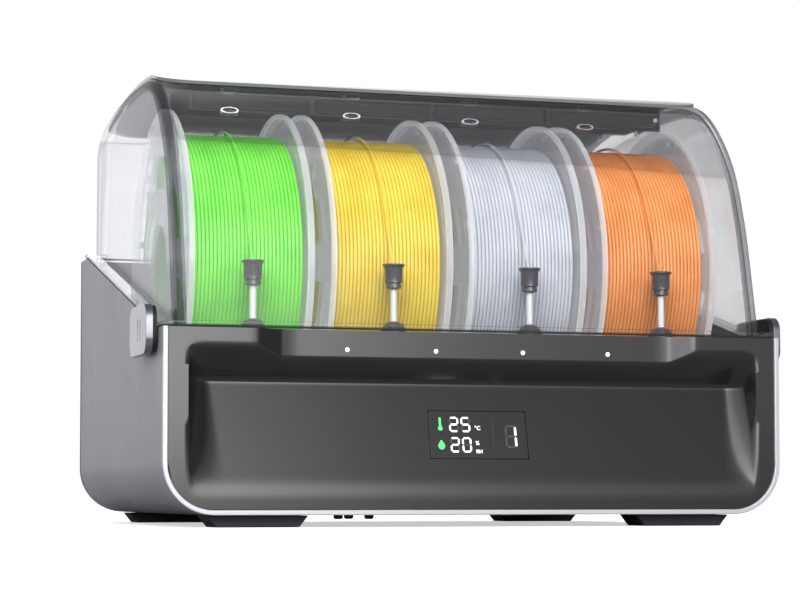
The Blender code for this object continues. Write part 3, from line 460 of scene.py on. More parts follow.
def make_looks():
    looks = {
        "shell": moulded("shell_grey", (0.318, 0.324, 0.358), 0.42),
        "latch": moulded("latch_grey", (0.20, 0.205, 0.23), 0.22, 900.0, 0.03, 0.04, 0.4, 0.75),
        "funnel": moulded("funnel_grey", (0.070, 0.066, 0.080), 0.20, 900.0, 0.03, 0.06, 0.5),
        "trim": moulded("trim_silver", (0.56, 0.575, 0.61), 0.24, 700.0, 0.04, 0.02, 0.3, 0.25),
        "panel": moulded("panel_black", (0.011, 0.011, 0.0115), 0.15, 1100.0, 0.03, 0.10, 0.25),
        "cap": moulded("cap_grey", (0.200, 0.203, 0.210), 0.22, 900.0, 0.03, 0.06, 0.6),
        "tray": moulded("tray_dark", (0.050, 0.051, 0.054), 0.45),
        "dark": moulded("dark_plastic", (0.045, 0.045, 0.050), 0.34, 900.0, 0.08, 0.08, 0.1),
        "cover": moulded("rear_grey", (0.075, 0.076, 0.082), 0.45),
        "tub": moulded("tub_grey", (0.085, 0.086, 0.094), 0.5),
        "foot": moulded("foot_rubber", (0.040, 0.041, 0.050), 0.6, 700.0, 0.2),
        "rubber": moulded("rubber_black", (0.020, 0.020, 0.022), 0.65, 800.0, 0.2),
        "window": moulded("display_glass", (0.006, 0.006, 0.007), 0.10, 300.0, 0.01, 0.2, 0.6),
        "circuit": moulded("circuit_green", (0.015, 0.110, 0.050), 0.4, 500.0, 0.1, 0.25),
        "tube": moulded("tube_white", (0.84, 0.85, 0.87), 0.28, 500.0, 0.04, 0.03, 0.3),
        "chrome": brushed("bright_metal", (0.80, 0.80, 0.82), 0.16, (1.0, 1.0, 6.0)),
        "steel": brushed("steel_rod", (0.62, 0.62, 0.65), 0.28, (0.06, 1.0, 1.0)),
        "aluminium": brushed("heater_aluminium", (0.74, 0.75, 0.77), 0.35, (1.0, 0.1, 1.0)),
        "lid": clear(
            "lid_clear", (0.990, 0.991, 0.992), (0.70, 0.705, 0.715),
            0.004, 5.0, 0.03, 0.45,
        ),
        # Lid edges: a darker copy of the clear plastic, painted shade on the lid's rounded edges.
        "lid_edge_painted_shade": clear(
            "lid_edge_clear", (0.50, 0.505, 0.515), (0.28, 0.285, 0.295),
            0.01, 2.0, 0.03, 0.4,
        ),
        "lid_roof": clear(
            "lid_roof_clear", (0.985, 0.986, 0.988), (0.80, 0.805, 0.815),
            0.002, 5.0, 0.25, 0.05,
        ),
        # The spool plastic's last value is a painted glow that lightens its flanges.
        "spool": clear(
            "spool_clear_painted_glow", (0.98, 0.982, 0.986), (0.88, 0.885, 0.895),
            0.08, 3.0, 0.06, 0.9, 0.45,
        ),
        # Spool rims: a whiter copy of the spool plastic with a stronger painted glow, a painted highlight
        # along each flange's rim.
        "spool_rim_painted_highlight": clear(
            "spool_rim_clear", (0.86, 0.865, 0.88), (0.60, 0.61, 0.63),
            0.30, 2.0, 0.05, 1.0, 0.55,
        ),
        "lens": glowing("status_white", (1.0, 1.0, 1.0), 2.5),
        "lit": glowing("digit_white", (1.0, 1.0, 1.0), 1.6),
        "unlit": moulded("digit_unlit", (0.055, 0.055, 0.058), 0.4),
        "green": glowing("sign_green", (0.12, 0.95, 0.25), 0.9),
        # Near-black for the gap behind each latch: painted shade.
        "gap_shade_sheet": moulded("painted_gap_shade", (0.008, 0.008, 0.009), 0.6),
    }
    colours = (
        ((0.250, 0.920, 0.100), (0.150, 0.760, 0.060)),
        ((1.000, 0.780, 0.100), (0.950, 0.600, 0.040)),
        ((0.700, 0.730, 0.800), (0.560, 0.590, 0.670)),
        ((1.000, 0.400, 0.130), (0.880, 0.280, 0.070)),
    )
    for number, (colour, shade) in enumerate(colours, start=1):
        looks[f"filament_{number}"] = filament(f"filament_{number}", colour, shade)
    return looks


# ---- Mesh helpers ----


def shape_of(points, faces):
    shape = bmesh.new()
    corners = [shape.verts.new(point) for point in points]
    for face in faces:
        shape.faces.new([corners[k] for k in face])
    return shape


def place(axis, along, first, second):
    """A point from its place along an axis and its two other coordinates in X, Y, Z order."""
    if axis == "X":
        return (along, first, second)
    if axis == "Y":
        return (first, along, second)
    return (first, second, along)


def prism(outline, low, high, axis):
    count = len(outline)
    points = [place(axis, low, *p) for p in outline] + [place(axis, high, *p) for p in outline]
    faces = [tuple(range(count)), tuple(range(count, 2 * count))]
    for k in range(count):
        after = (k + 1) % count
        faces.append((k, after, count + after, count + k))
    return shape_of(points, faces)


def closed_sheet(face, back):
    """A thin sheet between two grids of points, closed round its border."""
    stations, total = len(face), len(face[0])
    skin = stations * total
    faces = []
    for s in range(stations - 1):
        for k in range(total - 1):
            here = s * total + k
            for first in (here, here + skin):
                faces.append((first, first + 1, first + total + 1, first + total))
    border = list(range(total))
    border += [s * total + total - 1 for s in range(1, stations)]
    border += [(stations - 1) * total + k for k in range(total - 2, -1, -1)]
    border += [s * total for s in range(stations - 2, 0, -1)]
    for k, here in enumerate(border):
        after = border[(k + 1) % len(border)]
        faces.append((here, after, after + skin, here + skin))
    return shape_of([point for grid in (face, back) for row in grid for point in row], faces)


def box(low, high):
    outline = ((low[0], low[1]), (high[0], low[1]), (high[0], high[1]), (low[0], high[1]))
    return prism(outline, low[2], high[2], "Z")


def turned(profile, steps, axis):
    """Solid of revolution of a closed (along, radius) profile about an axis through the origin."""
    shape = bmesh.new()
    rings = []
    for along, radius in profile:
        if radius == 0.0:
            rings.append([shape.verts.new(place(axis, along, 0.0, 0.0))] * steps)
            continue
        ring = []
        for k in range(steps):
            angle = 2 * math.pi * k / steps
            across, up = radius * math.cos(angle), radius * math.sin(angle)
            ring.append(shape.verts.new(place(axis, along, across, up)))
        rings.append(ring)
    for k, ring in enumerate(rings):
        after = rings[(k + 1) % len(rings)]
        for s in range(steps):
            t = (s + 1) % steps
            corners = list(dict.fromkeys((ring[s], ring[t], after[t], after[s])))
            if len(corners) > 2:
                shape.faces.new(corners)
    return shape


def arc(centre, radius, turns):
    """Points round a centre, one for each angle."""
    return [(centre[0] + radius * math.cos(t), centre[1] + radius * math.sin(t)) for t in turns]


def rod(radius, low, high, steps, axis):
    return turned(((low, 0.0), (low, radius), (high, radius), (high, 0.0)), steps, axis)


def rounded_rectangle(centre, size, radius, steps=6):
    points = []
    for quarter, (across, up) in enumerate(((1, 1), (-1, 1), (-1, -1), (1, -1))):
        for k in range(steps + 1):
            angle = (quarter + k / steps) * math.pi / 2
            x = centre[0] + across * (size[0] / 2 - radius) + radius * math.cos(angle)
            points.append((x, centre[1] + up * (size[1] / 2 - radius) + radius * math.sin(angle)))
    return points


def moved(shape, matrix):
    bmesh.ops.transform(shape, matrix=matrix, verts=shape.verts)
    return shape


def shifted(shape, x=0.0, y=0.0, z=0.0):
    return moved(shape, Matrix.Translation((x, y, z)))


def merged(shapes):
    whole = bmesh.new()
    for shape in shapes:
        bmesh.ops.recalc_face_normals(shape, faces=shape.faces)
        mesh = bpy.data.meshes.new("loose_shape")
        shape.to_mesh(mesh)
        shape.free()
        whole.from_mesh(mesh)
        bpy.data.meshes.remove(mesh)
    return whole


def mesh_of(name, shape, look):
    bmesh.ops.recalc_face_normals(shape, faces=shape.faces)
    mesh = bpy.data.meshes.new(name)
    shape.to_mesh(mesh)
    shape.free()
    mesh.materials.append(look)
    return mesh


def piece(
    name, shape, look, body="root", nodes=(), location=(0.0, 0.0, 0.0), bevel=0.0, smooth=32.0
):
    """A finished piece: linked, shaded, bevelled, riding on its body and standing for its CAD nodes."""
    mesh = shape if isinstance(shape, bpy.types.Mesh) else mesh_of(name, shape, look)
    mesh.shade_smooth()
    mesh.set_sharp_from_angle(angle=math.radians(smooth))
    made = new_object(name, mesh)
    made.location = location
    if bevel:
        round_edges(made, bevel)
    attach(made, body)
    if nodes:
        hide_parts(*nodes)
    return made


def round_edges(made, width, segments=3, angle=32.0):
    step = made.modifiers.new("round_edges", "BEVEL")
    step.width = width
    step.segments = segments
    step.limit_method = "ANGLE"
    step.angle_limit = math.radians(angle)
    step.harden_normals = True


def cut(shape, tool, operation="DIFFERENCE"):
    """The first shape cut by, or joined with, the second."""
    things = []
    for name, source in (("target", shape), ("tool", tool)):
        bmesh.ops.recalc_face_normals(source, faces=source.faces)
        mesh = bpy.data.meshes.new(name)
        source.to_mesh(mesh)
        source.free()
        things.append(new_object(name, mesh))
    step = things[0].modifiers.new("cut", "BOOLEAN")
    step.operation = operation
    step.solver = "EXACT"
    step.object = things[1]
    graph = bpy.context.evaluated_depsgraph_get()
    mesh = bpy.data.meshes.new_from_object(things[0].evaluated_get(graph))
    result = bmesh.new()
    result.from_mesh(mesh)
    for made in things:
        data = made.data
        bpy.data.objects.remove(made)
        bpy.data.meshes.remove(data)
    bpy.data.meshes.remove(mesh)
    return result


def paint(look, *nodes):
    """Give CAD nodes that stay in view a finished material."""
    for name in nodes:
        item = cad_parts[name]
        if not item.material_slots:
            item.data.materials.append(look)
        for held in item.material_slots:
            held.link = "OBJECT"
            held.material = look


# ---- Casing ----


def u_path(inset, top, steps=20):
    """Front view outline of the casing, from its left top down and round to its right top."""
    half = HALF - inset
    low = BODY_BOTTOM + inset
    radius = CORNER_RADIUS - inset
    points = [(-half, top)]
    for side, start in ((-1, math.pi), (1, 1.5 * math.pi)):
        turns = [start + math.pi / 2 * k / steps for k in range(steps + 1)]
        points += arc((side * (half - radius), low + radius), radius, turns)
    points.append((half, top))
    return points


def u_channel(stations, wall):
    """Open-topped U wall through stations of (y, top height)."""
    points = []
    for y, top in stations:
        points += [(x, y, z) for x, z in u_path(0.0, top)]
        points += [(x, y, z) for x, z in u_path(wall, top)]
    count = len(u_path(0.0, SEAM_FRONT))
    row = 2 * count
    faces = []
    for k in range(count - 1):
        for start in (0, row * (len(stations) - 1)):
            faces.append((start + k, start + k + 1, start + count + k + 1, start + count + k))
    for s in range(len(stations) - 1):
        here = s * row
        after = here + row
        for k in range(count - 1):
            for skin in (0, count):
                faces.append((here + skin + k, here + skin + k + 1, after + skin + k + 1, after + skin + k))
        for edge in (0, count - 1):
            faces.append((here + edge, after + edge, after + count + edge, here + count + edge))
    return shape_of(points, faces)


SLOT_DEEPS = (0.032, 0.162, 0.296)


def slot_matrix(side, deep):
    """Where a side slot lies: on the lower corner's curve, X out of the shell."""
    angle = math.radians(46)
    x = side * (HALF - CORNER_RADIUS + CORNER_RADIUS * math.cos(angle))
    z = BODY_BOTTOM + CORNER_RADIUS - CORNER_RADIUS * math.sin(angle)
    lean = angle if side > 0 else math.pi - angle
    return Matrix.Translation((x, at(deep), z)) @ Matrix.Rotation(lean, 4, "Y")


def build_casing(looks):
    shell_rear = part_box("outer_shell")[1].y
    stations = [(y, seam(y)) for y in (at(0.003), at(SEAM_RISE_START), at(SEAM_RISE_END), shell_rear)]
    shell = u_channel(stations, SHELL_WALL)
    slots = []
    plugs = []
    for side in (-1, 1):
        for deep in SLOT_DEEPS:
            where = slot_matrix(side, deep)
            opening = rounded_rectangle((0.0, 0.0), (0.0026, 0.0080), 0.0012)
            insert = rounded_rectangle((0.0, 0.0), (0.0020, 0.0050), 0.0009)
            slots.append(moved(prism(opening, -0.0014, 0.0040, "X"), where))
            plugs.append(moved(prism(insert, -0.0018, -0.0007, "X"), where))
    shell = cut(shell, merged(slots))
    fan_low, fan_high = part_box("fan_frame")
    vents = []
    for k in range(-2, 3):
        x = (fan_low.x + fan_high.x) / 2 + k * 0.007
        vents.append(box((x - 0.0015, fan_low.y + 0.003, 0.0), (x + 0.0015, fan_high.y - 0.003, 0.012)))
    shell = cut(shell, merged(vents))
    piece("casing_shell", shell, looks["shell"], nodes=("outer_shell",), bevel=0.0005)
    piece("side_slot_inserts", merged(plugs), looks["chrome"])

    trim = u_channel([(FRONT, SEAM_FRONT), (at(TRIM_DEPTH), SEAM_FRONT)], TRIM_WIDTH)
    piece("trim_strip", trim, looks["trim"], nodes=("front_trim",), bevel=0.0006)


def build_rear(looks):
    front = at(REAR_COVER_FRONT)
    cover = prism(u_path(0.0, SEAM_REAR), front, REAR, "Y")
    panel = prism(rounded_rectangle((0.0, 0.108), (0.320, 0.110), 0.010), REAR - 0.0012, REAR + 0.002, "Y")
    cover = cut(cover, panel)
    socket_low, socket_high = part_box("cable_socket")
    fitting_low, fitting_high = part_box("outlet_fitting")
    ends = (front - 0.002, REAR + 0.002)
    low_corner = (socket_low.x - GAP, ends[0], socket_low.z - GAP)
    high_corner = (socket_high.x + GAP, ends[1], socket_high.z + GAP)
    holes = [box(low_corner, high_corner)]
    centre = (fitting_low + fitting_high) / 2
    holes.append(shifted(rod(0.0063, *ends, 40, "Y"), x=centre.x, z=centre.z))
    for column in range(-8, 9):
        vent = rounded_rectangle((column * 0.006, centre.z), (0.0026, 0.022), 0.0012)
        holes.append(prism(vent, *ends, "Y"))
    cover = cut(cover, merged(holes))
    piece("back_cover", cover, looks["cover"], nodes=("rear_cover",), bevel=0.0005)
    ears = []
    rail_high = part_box("lid_hinge_rail")[1].x
    rod_low, rod_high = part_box("hinge_rod")
    y, z = (rod_low.y + rod_high.y) / 2, (rod_low.z + rod_high.z) / 2
    for side in (-1, 1):
        outline = [(front + 0.0002, 0.172), (REAR - 0.0002, 0.172), (REAR - 0.0002, 0.182)]
        outline += arc((y, z), KNUCKLE_RADIUS, [math.pi * k / 16 for k in range(17)])
        outline += [(y - KNUCKLE_RADIUS, SEAM_REAR + 0.001), (front + 0.0002, SEAM_REAR + 0.001)]
        ears.append(prism(outline, *sorted((side * (rail_high + 0.001), side * (rail_high + 0.009))), "X"))
    piece("hinge_knuckles", merged(ears), looks["cover"], bevel=0.0004)
    near, far = rail_high + 0.0092, rail_high + 0.0104
    caps = [shifted(rod(0.0026, side * near, side * far, 32, "X"), y=y, z=z) for side in (-1, 1)]
    piece("hinge_rod_caps", merged(caps), looks["steel"], bevel=0.0003)
    build_socket(looks, socket_low, socket_high)
    screws = []
    for x, height in ((-0.172, 0.165), (0.172, 0.165), (-0.172, 0.048), (0.172, 0.048), (0.0, 0.168)):
        floor, out = REAR + 0.0003, REAR + 0.004
        cross = [box((-0.0022, floor, -0.0004), (0.0022, out, 0.0004))]
        cross.append(box((-0.0004, floor, 0.0006), (0.0004, out, 0.0022)))
        cross.append(box((-0.0004, floor, -0.0022), (0.0004, out, -0.0006)))
        head = cut(rod(0.0032, REAR - 0.0002, REAR + 0.0010, 32, "Y"), merged(cross))
        screws.append(shifted(head, x=x, z=height))
    piece("cover_screws", merged(screws), looks["steel"])


def build_socket(looks, low, high):
    centre = (low + high) / 2
    middle = (centre.x, centre.z)
    rim = rounded_rectangle(middle, (high.x - low.x, high.z - low.z), 0.002)
    rim = prism(rim, low.y, high.y, "Y")
    mouth = rounded_rectangle(middle, (0.024, 0.016), 0.0025)
    mouth = prism(mouth, high.y - 0.012, high.y + 0.01, "Y")
    piece("power_socket", cut(rim, mouth), looks["dark"], nodes=("cable_socket",), bevel=0.0005)
    pins = []
    for x, z in ((-0.006, -0.001), (0.0, 0.0025), (0.006, -0.001)):
        x, z = centre.x + x, centre.z + z
        pins.append(box((x - 0.001, high.y - 0.0125, z - 0.002), (x + 0.001, high.y - 0.003, z + 0.002)))
    piece("socket_pins", merged(pins), looks["chrome"], bevel=0.0002)


def build_feet(looks):
    for row in ("front", "rear"):
        for side in ("left", "right"):
            low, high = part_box(f"foot_{row}_{side}")
            taper = 0.0055
            outline = ((low.x, high.z), (low.x + taper, low.z), (high.x - taper, low.z), (high.x, high.z))
            foot = prism(outline, low.y, high.y, "Y")
            nodes = (f"foot_{row}_{side}",)
            piece(f"foot_pad_{row}_{side}", foot, looks["foot"], nodes=nodes, bevel=0.0007)
    studs = []
    for k, x in enumerate((-0.056, -0.046, -0.036)):
        profile = ((0.0035, 0.0), (0.0035, 0.0020), (0.0042, 0.0030), (0.0068, 0.0030), (0.0068, 0.0))
        studs.append(shifted(turned(profile, 24, "Z"), x=x, y=at(0.120 + 0.012 * (k % 2))))
    piece("under_studs", merged(studs), looks["dark"])


# ---- Front panel ----


def soft_max(a, b, width):
    share = clamp(0.5 + 0.5 * (a - b) / width)
    return b + (a - b) * share + width * share * (1 - share)


def soft_min(a, b, width):
    return -soft_max(-a, -b, width)


def panel_depth(x, z):
    """How far the panel's face lies behind the front plane, its creases softly rounded."""
    side = abs(x)
    band = 0.0
    if z > RECESS_CREASE:
        facet = NOTCH_DEPTH * (NOTCH_OUTER - side) / (NOTCH_OUTER - NOTCH_INNER)
        band = soft_min(soft_max(facet, 0.0, 0.0006), NOTCH_DEPTH, 0.0008)
    slant = (RECESS_TOP - z) * RECESS_DEPTH / (RECESS_TOP - RECESS_CREASE)
    slope = (z - RECESS_FOOT) * RECESS_DEPTH / (RECESS_CREASE - RECESS_FOOT)
    inner = 0.1515 + 0.008 * clamp((z - RECESS_FOOT) / (RECESS_CREASE - RECESS_FOOT))
    reach = clamp((side - inner) / (RECESS_END_OUTER - inner))
    deep = soft_max(soft_min(slant, slope, 0.0022), 0.0, 0.0012)
    hollow = deep * math.sqrt(max(0.0, 1.0 - reach**2.4))
    return PANEL_FACE + soft_max(band, hollow, 0.0012)


def panel_back(x, z):
    """How far the panel's back lies behind the front plane: deeper along its top edge."""
    deep = panel_depth(x, z) + PANEL_THICK
    return max(deep, PANEL_BACK) if z > PANEL_BACK_LOW else deep


def spaced(stops, step):
    """Values from the first stop to the last, about one step apart, with every stop among them."""
    values = [stops[0]]
    for low, high in zip(stops, stops[1:]):
        count = max(1, round((high - low) / step))
        values += [low + (high - low) * k / count for k in range(1, count + 1)]
    return values


def panel_shape():
    edge = HALF - TRIM_WIDTH - GAP
    low = BODY_BOTTOM + TRIM_WIDTH + GAP
    radius = CORNER_RADIUS - TRIM_WIDTH - GAP
    right = spaced([0.0, NOTCH_INNER - 0.001], 0.010)
    right += spaced([NOTCH_INNER - 0.001, NOTCH_OUTER + 0.001], 0.0010)[1:]
    right += spaced([NOTCH_OUTER + 0.001, 0.150], 0.004)[1:]
    right += spaced([0.150, RECESS_END_OUTER + 0.001], 0.0011)[1:]
    right += spaced([RECESS_END_OUTER + 0.001, edge], 0.0022)[1:]
    across = [-x for x in reversed(right[1:])] + right
    fixed = 0.046
    lower = [k / 14 for k in range(14)]
    upper = spaced([fixed, RECESS_CREASE - 0.003], 0.006)
    upper += spaced([RECESS_CREASE - 0.003, RECESS_TOP + 0.001], 0.0009)[1:]
    upper += spaced([RECESS_TOP + 0.001, PANEL_TOP - 0.0006], 0.003)[1:]
    upper.append(PANEL_TOP)
    face, back = [], []
    for x in across:
        reach = max(0.0, abs(x) - (edge - radius))
        foot = low + radius - math.sqrt(max(0.0, radius**2 - reach**2))
        heights = [foot + (fixed - foot) * share for share in lower] + upper
        face.append([(x, at(panel_depth(x, z)), z) for z in heights])
        back.append([(x, at(panel_back(x, z)), z) for z in heights])
    return closed_sheet(face, back)


PANEL_LEAN = math.atan2(RECESS_DEPTH, RECESS_CREASE - RECESS_FOOT)
PANEL_AT_DISPLAY = PANEL_FACE + (WINDOW_Z - RECESS_FOOT) * RECESS_DEPTH / (RECESS_CREASE - RECESS_FOOT)
DISPLAY_PLACE = Matrix.Translation((0.0, at(PANEL_AT_DISPLAY), WINDOW_Z))
DISPLAY_FACE = DISPLAY_PLACE @ Matrix.Rotation(-PANEL_LEAN, 4, "X")


def on_display(shape, proud=0.0):
    """Lay a shape drawn in X and Z on the sloping display."""
    return moved(shape, DISPLAY_FACE @ Matrix.Translation((0.0, -proud, 0.0)))


def segment_bars(centre, size, names, width=0.00105):
    """Bars of a seven-segment digit, each with pointed ends."""
    wide, tall = size
    ends = {
        "a": ((-1, 1), (1, 1)),
        "b": ((1, 1), (1, 0)),
        "c": ((1, 0), (1, -1)),
        "d": ((-1, -1), (1, -1)),
        "e": ((-1, 0), (-1, -1)),
        "f": ((-1, 1), (-1, 0)),
        "g": ((-1, 0), (1, 0)),
    }
    bars = []
    for name in names:
        (x0, z0), (x1, z1) = [(centre[0] + u * wide / 2, centre[1] + v * tall / 2) for u, v in ends[name]]
        length = math.hypot(x1 - x0, z1 - z0)
        ux, uz = (x1 - x0) / length, (z1 - z0) / length
        gap, half = width * 0.25, width / 2
        first, last = gap + half, length - gap - half
        hexagon = ((gap, 0), (first, half), (last, half), (length - gap, 0), (last, -half), (first, -half))
        outline = []
        for along, across in hexagon:
            outline.append((x0 + ux * along - uz * across, z0 + uz * along + ux * across))
        bars.append(prism(outline, -0.00006, 0.0, "Y"))
    return bars


DIGITS = {"0": "abcdef", "1": "bc", "2": "abged", "5": "afgcd"}


def build_display(looks):
    size = (0.060, 0.0015, 0.029)
    glass = prism(rounded_rectangle((0.0, 0.0), (size[0], size[2]), 0.0012), -0.0002, size[1] - 0.0002, "Y")
    nodes = ("display_window",)
    glass = on_display(glass)
    piece("display_glass_pane", glass, looks["window"], nodes=nodes, bevel=0.0002)
    proud = 0.0003
    digit = (0.0047, 0.0082)
    lit, unlit = [], []
    rows = (("25", 0.0062), ("20", -0.0062))
    for text, z in rows:
        for k, character in enumerate(text):
            centre = (-0.0148 + k * 0.0072, z)
            lit += segment_bars(centre, digit, DIGITS[character])
            unlit += segment_bars(centre, digit, set("abcdefg") - set(DIGITS[character]))
    big = (0.0200, -0.0010)
    lit += segment_bars(big, (0.0060, 0.0128), DIGITS["1"], 0.0013)
    unlit += segment_bars(big, (0.0060, 0.0128), "adefg", 0.0013)
    divider = [box((0.0088, -0.00005, -0.0098), (0.0091, 0.0, 0.0098))]
    piece("display_digits", on_display(merged(lit), proud), looks["lit"])
    dim = on_display(merged(unlit + divider), proud)
    piece("display_unlit_bars", dim, looks["unlit"])
    build_signs(looks, proud)
    units = (("°C", 0.0030, 0.0034), ("%", -0.0062, 0.0034), ("RH", -0.0112, 0.0030))
    for text, z, tall in units:
        sign(text, -0.0022, z, tall, looks["lit"], proud)


def sign(text, x, z, tall, look, proud):
    """A small unit sign beside the digits."""
    names = {"°C": "unit_degrees", "%": "unit_percent", "RH": "unit_humidity"}
    data = bpy.data.curves.new(names[text], "FONT")
    data.body = text
    data.size = tall
    data.extrude = 0.00003
    data.offset = 0.00006
    made = new_object(names[text], data)
    data.materials.append(look)
    upright = Matrix.Translation((x, -proud, z)) @ Matrix.Rotation(math.pi / 2, 4, "X")
    made.matrix_world = DISPLAY_FACE @ upright
    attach(made, "root")


def build_signs(looks, proud):
    """A thermometer and a droplet, both plain signs."""
    x, upper, lower = -0.0232, 0.0062, -0.0062
    stem = rounded_rectangle((x, upper + 0.0010), (0.0014, 0.0066), 0.0007)
    bulb = arc((x, upper - 0.0024), 0.0014, [2 * math.pi * k / 24 for k in range(24)])
    drop = []
    for k in range(32):
        angle = 2 * math.pi * k / 32
        point = 1.0 + 0.75 * max(0.0, math.sin(angle)) ** 6
        drop.append((x + 0.0021 * math.cos(angle), lower - 0.0008 + 0.0021 * math.sin(angle) * point))
    proud_ones = ((stem, 0.00006), (bulb, 0.00009), (drop, 0.00006))
    shapes = [prism(outline, -thick, 0.0, "Y") for outline, thick in proud_ones]
    piece("display_signs", on_display(merged(shapes), proud), looks["green"])


def build_front(looks):
    panel = panel_shape()
    hole = box((-0.0303, -0.015, -0.0148), (0.0303, 0.015, 0.0148))
    panel = cut(panel, moved(hole, DISPLAY_FACE))
    piece("scooped_panel", panel, looks["panel"], nodes=("front_panel",), smooth=40.0)
    build_display(looks)
    lenses = []
    for k in range(4):
        dome = [(0.0, 0.0), (0.0, 0.00125)]
        turns = [t * math.pi / 12 for t in range(1, 6)]
        dome += [(-0.0007 * math.sin(t), 0.00125 * math.cos(t)) for t in turns]
        dome.append((-0.0007, 0.0))
        lenses.append(shifted(turned(dome, 24, "Y"), x=(k - 1.5) * LIGHT_PITCH, y=at(LIGHT_FACE), z=LIGHT_Z))
    piece("status_lenses", merged(lenses), looks["lens"], nodes=("led_light_guide",))


# ---- Latches ----


def build_latches(looks):
    stand_off = 0.0024
    for name, side in (("left", -1), ("right", 1)):
        low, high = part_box(f"latch_{name}")
        centre = ((low.y + high.y) / 2, (low.z + high.z) / 2)
        size = (high.y - low.y, high.z - low.z)
        inner, outer = (high.x, low.x) if side < 0 else (low.x, high.x)
        body = rounded_rectangle(centre, size, 0.009, 10)
        body = prism(body, *sorted((inner + side * stand_off, outer)), "X")
        marks = []
        for offset in (-0.004, 0.004):
            mark = rounded_rectangle((centre[0] - 0.004 + offset, centre[1]), (0.0016, 0.0120), 0.0007)
            marks.append(prism(mark, *sorted((outer - side * 0.0007, outer + side * 0.002)), "X"))
        body = cut(body, merged(marks))
        latch = f"latch_{name}"
        cover = f"latch_cover_{name}"
        piece(cover, body, looks["latch"], latch, (latch,), bevel=0.0014, smooth=30.0)
        # Painted shade: a near-black sheet fills the gap between the latch and the casing.
        pad = rounded_rectangle(centre, (size[0] - 0.002, size[1] - 0.002), 0.0085, 10)
        pad = prism(pad, *sorted((inner + side * 0.0001, inner + side * (stand_off - 0.0001))), "X")
        piece(f"latch_gap_shade_{name}", pad, looks["gap_shade_sheet"], latch)


# ---- Lid ----


def smooth_line(points, steps):
    """Catmull-Rom curve through a few points, its two end runs kept straight."""
    line = [points[0]]
    for k in range(1, len(points) - 2):
        before, start, end, after = points[k - 1 : k + 3]
        for s in range(steps):
            t = s / steps
            point = []
            for a, b, c, d in zip(before, start, end, after):
                bend = (2 * a - 5 * b + 4 * c - d) * t**2 + (3 * b - a - 3 * c + d) * t**3
                point.append(0.5 * (2 * b + (c - a) * t + bend))
            line.append(tuple(point))
    return line + [points[-2], points[-1]]


def inset_line(points, distance):
    moved_points = []
    for k, (y, z) in enumerate(points):
        before = points[max(k - 1, 0)]
        after = points[min(k + 1, len(points) - 1)]
        run = (after[0] - before[0], after[1] - before[1])
        length = math.hypot(*run)
        moved_points.append((y + distance * run[1] / length, z - distance * run[0] / length))
    return moved_points


def drafted(z):
    """Share of its full width that the lid has at this height."""
    return 1 - LID_DRAFT * (z - SEAM_FRONT) / (LID_CROWN - SEAM_FRONT)


def lid_rows(wall, foot, steps, edge_steps):
    """Rows of points over the lid, one row for each station along X, left to right."""
    line = [(at(deep), z) for deep, z in smooth_line(LID_OUTLINE, steps)]
    rows = []
    for side in (-1, 1):
        turns = [k / edge_steps for k in range(edge_steps + 1)]
        for turn in turns if side < 0 else reversed(turns):
            angle = turn * math.pi / 2
            x = side * (LID_HALF - wall - LID_EDGE * (1 - math.cos(angle)))
            row = inset_line(line, wall + LID_EDGE * (1 - math.sin(angle)))
            row[0] = (row[0][0], seam(row[0][0]) + foot)
            row[-1] = (row[-1][0], seam(row[-1][0]) + foot)
            rows.append([(x * drafted(z), y, z) for y, z in row])
    return rows


def rim_loop(rows, foot):
    front = [row[0] for row in rows]
    rear = [row[-1] for row in reversed(rows)]
    bends = [at(SEAM_RISE_START), at(SEAM_RISE_END)]
    right = [(front[-1][0], y, seam(y) + foot) for y in bends]
    left = [(front[0][0], y, seam(y) + foot) for y in reversed(bends)]
    return front + right + rear + left


def flange_loop(loop, edge_steps, height, inset=0.0):
    """The flange's outer edge, point for point round a rim loop."""
    row_count = 2 * (edge_steps + 1)
    half_row = []
    for k in range(edge_steps + 1):
        angle = k / edge_steps * math.pi / 2
        x = HALF - GAP - inset - FLANGE_EDGE * (1 - math.cos(angle))
        half_row.append((x, FLANGE_EDGE * (1 - math.sin(angle))))
    plan = [(-x, at(FLANGE_FRONT + inset) + y) for x, y in half_row]
    plan += [(x, at(FLANGE_FRONT + inset) + y) for x, y in reversed(half_row)]
    plan += [(HALF - GAP - inset, point[1]) for point in loop[row_count : row_count + 2]]
    plan += [(x, at(FLANGE_REAR) - y) for x, y in half_row]
    plan += [(-x, at(FLANGE_REAR) - y) for x, y in reversed(half_row)]
    plan += [(-HALF + GAP + inset, point[1]) for point in loop[-2:]]
    return [(x, y, seam(y) + height) for x, y in plan]


